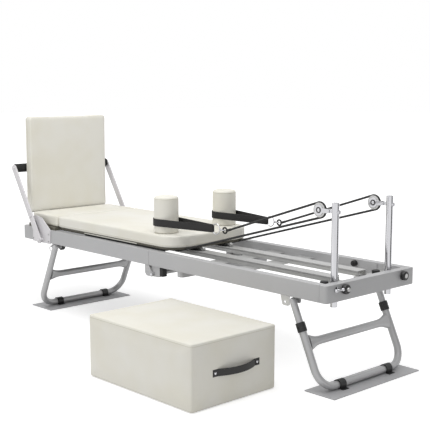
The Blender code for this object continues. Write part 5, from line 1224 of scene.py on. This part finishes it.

# %% [markdown]
# Under the carriage two springs pull it to the foot end. Each is one long coil, a
# helix from a formula, that runs between its two ends and is baked in place, on no body. A screw modifier
# could wind it too, but the formula gives the end points exactly. Rollers on axles carry the
# carriage along the tracks.

# %% Springs and rollers
SPRING_START, SPRING_END, SPRING_Z = -1.0840, -0.6020, 0.470
COILS, STEPS, COIL_RADIUS = 96, 12, 0.0086
for side, sign in SIDES.items():
    helix = []
    for step in range(COILS * STEPS + 1):
        angle = 2 * math.pi * step / STEPS
        share = step / (COILS * STEPS)
        helix.append((SPRING_START + (SPRING_END - SPRING_START) * share,
                      sign * 0.200 + COIL_RADIUS * math.cos(angle), SPRING_Z + COIL_RADIUS * math.sin(angle)))
    coil = tube_along(helix, 0.0013, resolution=1)
    coil = settle(coil, f"spring_{side}_skin", POST_CHROME, None, f"spring_{side}", smooth=60)
    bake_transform(coil)
half_axle = [(0.004, 0.0625), (0.0105, 0.0625), (0.0113, 0.0635), (0.0113, 0.1115), (0.0105, 0.1125),
             (0.004, 0.1125), (0.004, 0.1295), (0.0038, 0.130)]
rings = [(radius, -place) for radius, place in reversed(half_axle)] + half_axle
for end, x in (("head", 0.100), ("foot", -0.775)):
    rollers = turned(rings, (x, 0, 0.4866), (0, 1, 0), 40)
    settle(rollers, f"{end}_rollers_skin", BLACK_RUBBER, f"{end}_rollers", f"{end}_rollers")

# %% [markdown]
# Two guide wheels run ahead of the pad along the tracks, each in a dark housing, and
# close the gap between the pad and the tracks. A wheel turned as a closed section is
# open in the middle, so that its spindle can be seen to go through.

# %% Guide wheels
WHEEL_X, WHEEL_Z, TRACK_Y = 0.176, 0.4855, 0.0965
for side, sign in SIDES.items():
    y = sign * TRACK_Y
    housing = slab((0.108, y - 0.021, 0.4778), (0.166, y + 0.021, 0.4898), 0.002)
    settle(housing, f"guide_housing_{side}", BLACK_RUBBER, "carriage")
    rings = [(0.0030, -0.007), (0.0085, -0.007), (0.0098, -0.005), (0.0098, 0.005), (0.0085, 0.007),
             (0.0030, 0.007)]
    wheel = turned(rings, (WHEEL_X, y, WHEEL_Z), (0, 1, 0), 32, 0, closed=True)
    spindle = rod((WHEEL_X, y - 0.011, WHEEL_Z), (WHEEL_X, y + 0.011, WHEEL_Z), 0.0031)
    fork = [slab((0.158, y + low, 0.4805), (0.181, y + low + 0.003, 0.4900), 0.0006)
            for low in (-0.011, 0.008)]
    settle(joined(wheel, spindle, *fork), f"guide_wheel_{side}", WHEEL_SILVER, "carriage")

# %% [markdown]
# The footbar turns on a bolt through each bracket plate. The plates are sheet metal
# with a slit and small holes, bolted to the rail. A black sheet behind the slit is painted
# shade, so that the slit reads as the dark shadow line along the arm's edge.
# All of it is one outline with holes. The far side is a mirror copy.

# %% Footbar brackets
BAR_PIVOT, BAR_TOP = (-0.962, 0.417), (-1.210, 0.814)


def slot_hole(first, second, radius):
    """Outline of a straight slit with round ends."""
    heading = math.degrees(math.atan2(second[1] - first[1], second[0] - first[0]))
    points = arc(first, radius, heading + 90, heading + 270, 8)
    return points + arc(second, radius, heading - 90, heading + 90, 8)


bracket_outline = [(-1.060, 0.4000), (-0.882, 0.4000), (-0.880, 0.402), (-0.877, 0.478), (-0.879, 0.4835),
                   (-0.905, 0.502), (-0.955, 0.540), (-0.965, 0.5440), (-1.015, 0.553), (-1.022, 0.5525),
                   (-1.062, 0.5445), (-1.0665, 0.540), (-1.0520, 0.490), (-1.0600, 0.402)]
holes = [slot_hole((-1.0285, 0.5196), (-0.984, 0.453), 0.0040)]
holes += [arc(spot, 0.0030, 0, 340, 17) for spot in ((-1.030, 0.437), (-1.030, 0.455), (-1.005, 0.430))]
bracket = plate([bracket_outline] + holes, -0.3153, -0.3103, "Y", 0.0008)


def on_pivot(y):
    return BAR_PIVOT[0], y, BAR_PIVOT[1]


OUTWARD = (0, -1, 0)
WASHER_Y, HEAD_Y = -0.3396, -0.3410
boss = turned([(0.0135, 0), (0.0120, 0.0012), (0.0120, 0.0147)], on_pivot(-0.3150), OUTWARD)
bolt = rod(on_pivot(-0.3290), on_pivot(WASHER_Y), 0.006)
washer = rod(on_pivot(WASHER_Y), on_pivot(HEAD_Y), 0.0098, 0.0004)
head = turned([(0.0085, 0), (0.0085, 0.0032)], on_pivot(HEAD_Y), OUTWARD, 6, 0.0006)
bracket = joined(bracket, boss, bolt, washer, head)
settle_both(bracket, "footbar_bracket_{}_skin", ARM_SILVER, "foot_frame", "footbar_bracket_{}")
# Painted shade: a black sheet behind each bracket's slit, standing for the shadow line along the arm's edge.
slit_shade = plate([slot_hole((-1.0305, 0.5226), (-0.982, 0.450), 0.0065)], -0.3116, -0.3101, "Y", 0.0004)
settle_both(slit_shade, "bracket_liner_{}", BLACK_RUBBER, "foot_frame")
rings = [(0.0052, 0), (0.0052, 0.0024), (0.0035, 0.0034), (0.0010, 0.0035)]
bolts = [turned(rings, (x, -0.3156, z), OUTWARD, 6)
         for x, z in ((-1.052, 0.417), (-1.040, 0.470), (-0.895, 0.413), (-0.893, 0.455))]
settle_both(joined(*bolts), "bracket_bolts_{}", TRACK_SILVER, "foot_frame")

# %% [markdown]
# The arms are flat bars with round ends, one outline with a hole for the pivot bolt. A
# round tube joins them at the top, and a long foam sleeve covers it.

# %% Footbar arms and grip
rise = math.degrees(math.atan2(BAR_TOP[1] - BAR_PIVOT[1], BAR_TOP[0] - BAR_PIVOT[0]))
arm_outline = arc(BAR_PIVOT, 0.019, rise + 90, rise + 270, 18)
arm_outline += arc(BAR_TOP, 0.020, rise - 90, rise + 90, 18)
pivot_hole = arc(BAR_PIVOT, 0.0064, 0, 345, 23)
LOCK_DISTANCE = 0.152
lock_x = BAR_PIVOT[0] + LOCK_DISTANCE * math.cos(math.radians(rise))
lock_z = BAR_PIVOT[1] + LOCK_DISTANCE * math.sin(math.radians(rise))
pieces = []
for sign in (-1, 1):
    low, high = sorted((sign * 0.330, sign * 0.3393))
    pieces.append(plate([arm_outline, pivot_hole], low, high, "Y", 0.0014))
    pieces.append(turned([(0.008, 0), (0.008, 0.0035), (0.006, 0.0048), (0.002, 0.0049)],
                         (lock_x, sign * 0.3392, lock_z), (0, sign, 0), 28))
    pieces.append(turned([(0.010, 0), (0.009, 0.0026), (0.004, 0.0040), (0.001, 0.0042)],
                         (BAR_TOP[0], sign * 0.3392, BAR_TOP[1]), (0, sign, 0), 32))
pieces.append(rod((BAR_TOP[0], -0.331, BAR_TOP[1]), (BAR_TOP[0], 0.331, BAR_TOP[1]), 0.0125))
settle(joined(*pieces), "footbar_frame_skin", ARM_SILVER, "footbar", "footbar_frame")
rings = [(0.0130, -0.3296), (0.0225, -0.3296), (0.0246, -0.3280), (0.0250, -0.3250), (0.0250, 0.3250),
         (0.0246, 0.3280), (0.0225, 0.3296), (0.0130, 0.3296)]
grip = turned(rings, (BAR_TOP[0], 0, BAR_TOP[1]), (0, 1, 0), 56, 0, closed=True)
settle(grip, "footbar_grip_skin", BLACK_FOAM, "footbar", "footbar_grip")

# %% [markdown]
# The sitting box is a wooden case padded all round. Its leather panels meet in sewn
# edges, and a leather strap with two rivets is fixed to one end to carry it by. It is
# made like the pads, with slightly larger cells because its panels are broad.

# %% Sitting box
box_outline = rounded((0.2370, -0.8571), (0.9342, -0.3629), (0.009,) * 4, 0)
cushion("sitting_box", box_outline, 0.0002, 0.2875, "sitting_box", "sitting_box_seam", 0.2745,
        edge=0.0065, voxel=0.0065, piping=0.0012, sink=0.0004)

# %% [markdown]
# The carrying strap stands off the box's end in a shallow curve. A bevelled curve would
# make it round like a cord, so its line is worked out point by point, four points high,
# and a solidify modifier gives it thickness afterwards.

# %% Carrying strap
FACE_X = 0.9335
STRAP_START, STRAP_LENGTH, STRAP_Z = -0.7425, 0.272, 0.145
ROWS = 48


def strap_point(share):
    """Place on the strap's centre line, from one end to the other, seen from above."""
    inside = min(max((share - 0.11) / 0.78, 0.0), 1.0)
    lift = math.sin(math.pi * inside)
    return FACE_X + 0.0025 + 0.0285 * lift ** 0.8, STRAP_START + STRAP_LENGTH * share


vertices, faces = [], []
for step in range(ROWS + 1):
    for height in (-0.0155, -0.0145, 0.0145, 0.0155):
        vertices.append(at(*strap_point(step / ROWS), STRAP_Z + height))
for step in range(ROWS):
    for column in range(3):
        first = step * 4 + column
        faces.append((first, first + 4, first + 5, first + 1))
mesh = bpy.data.meshes.new("strap")
mesh.from_pydata(vertices, [], faces)
strap = bpy.data.objects.new("strap", mesh)
bpy.context.scene.collection.objects.link(strap)
thick = strap.modifiers.new("thickness", "SOLIDIFY")
thick.thickness = 0.0035
thick.offset = 0
round_edges(strap, 0.0008, 2)
settle(strap, "box_handle_skin", BLACK_LEATHER, "sitting_box", "box_handle", smooth=50)
for index, y in enumerate((STRAP_START + 0.014, STRAP_START + STRAP_LENGTH - 0.014)):
    rivet = turned([(0.0065, 0), (0.0058, 0.0018), (0.0030, 0.0026), (0.0010, 0.0027)],
                   (FACE_X + 0.0035, y, STRAP_Z), (1, 0, 0), 28)
    settle(rivet, f"handle_rivet_{index}", POST_CHROME, "sitting_box")

# %% [markdown]
# The studio is a wide pale floor under a white sky. The floor keeps the shadow, and
# both show as white to the camera and in reflections: the floor glows a little for such
# rays, more so far away, where the lamps reach it less. One large soft lamp hangs
# overhead and a second fills the near side. A dark card, which only reflections see,
# draws a narrow dark line down the bright posts.

# %% Studio
fresh()
bpy.ops.mesh.primitive_plane_add(size=60, location=(0, 0, -0.0005))
floor = bpy.context.object
floor.name = "floor"
paper = Finish("floor_paper", "board_grey", linear(226, 226, 226), 0.9)
paths = paper.tree.nodes.new("ShaderNodeLightPath")
seen = Field(paper, paths.outputs["Is Camera Ray"]) + Field(paper, paths.outputs["Is Glossy Ray"])
seen = seen + Field(paper, paths.outputs["Is Transmission Ray"])
distance = paper.node("ShaderNodeVectorMath", {"operation": "LENGTH"}, {0: paper.place()}, 1)
glow = paper.node("ShaderNodeMapRange", {}, {0: distance, 1: 1.0, 2: 6.0, 3: 0.48, 4: 0.85})
paper.feed("Emission Color", seen * glow)
paper.shader.inputs["Emission Strength"].default_value = 1.0
floor.data.materials.append(paper.material)

fresh()
bpy.ops.mesh.primitive_plane_add(
    size=1, location=at(2.84, 0.90, 0.75), rotation=(math.pi / 2, 0, math.radians(120)))
card = bpy.context.object
card.name = "dark_card"
card.scale = (1.2, 1.5, 1)
card.data.materials.append(moulded("card_black", "black_plastic", linear(30, 30, 30), 0.9).material)
card.visible_camera = False
card.visible_diffuse = False
card.visible_shadow = False

world = bpy.data.worlds.new("studio")
bpy.context.scene.world = world
world.use_nodes = True
sky = world.node_tree.nodes["Background"]
paths = world.node_tree.nodes.new("ShaderNodeLightPath")
either = world.node_tree.nodes.new("ShaderNodeMath")
either.operation = "MAXIMUM"
world.node_tree.links.new(paths.outputs["Is Camera Ray"], either.inputs[0])
world.node_tree.links.new(paths.outputs["Is Glossy Ray"], either.inputs[1])
level = world.node_tree.nodes.new("ShaderNodeMath")
level.operation = "MULTIPLY_ADD"
level.inputs[1].default_value = 0.45
level.inputs[2].default_value = 0.55
world.node_tree.links.new(either.outputs[0], level.inputs[0])
world.node_tree.links.new(level.outputs[0], sky.inputs["Strength"])
sky.inputs["Color"].default_value = (1, 1, 1, 1)


def soft_lamp(name, place, target, size, power):
    data = bpy.data.lights.new(name, "AREA")
    data.shape = "SQUARE"
    data.size = size
    data.energy = power
    lamp = bpy.data.objects.new(name, data)
    bpy.context.scene.collection.objects.link(lamp)
    direction = Vector(target) - Vector(place)
    lamp.matrix_world = Matrix.Translation(place) @ direction.to_track_quat("-Z", "Y").to_matrix().to_4x4()


soft_lamp("overhead", (0.3, -0.5, 3.6), (0, 0, 0.3), 3.0, 82)
soft_lamp("near_fill", (-0.8, -3.6, 1.8), (0, 0, 0.4), 2.4, 22)
print("studio ready")

# %% Finish
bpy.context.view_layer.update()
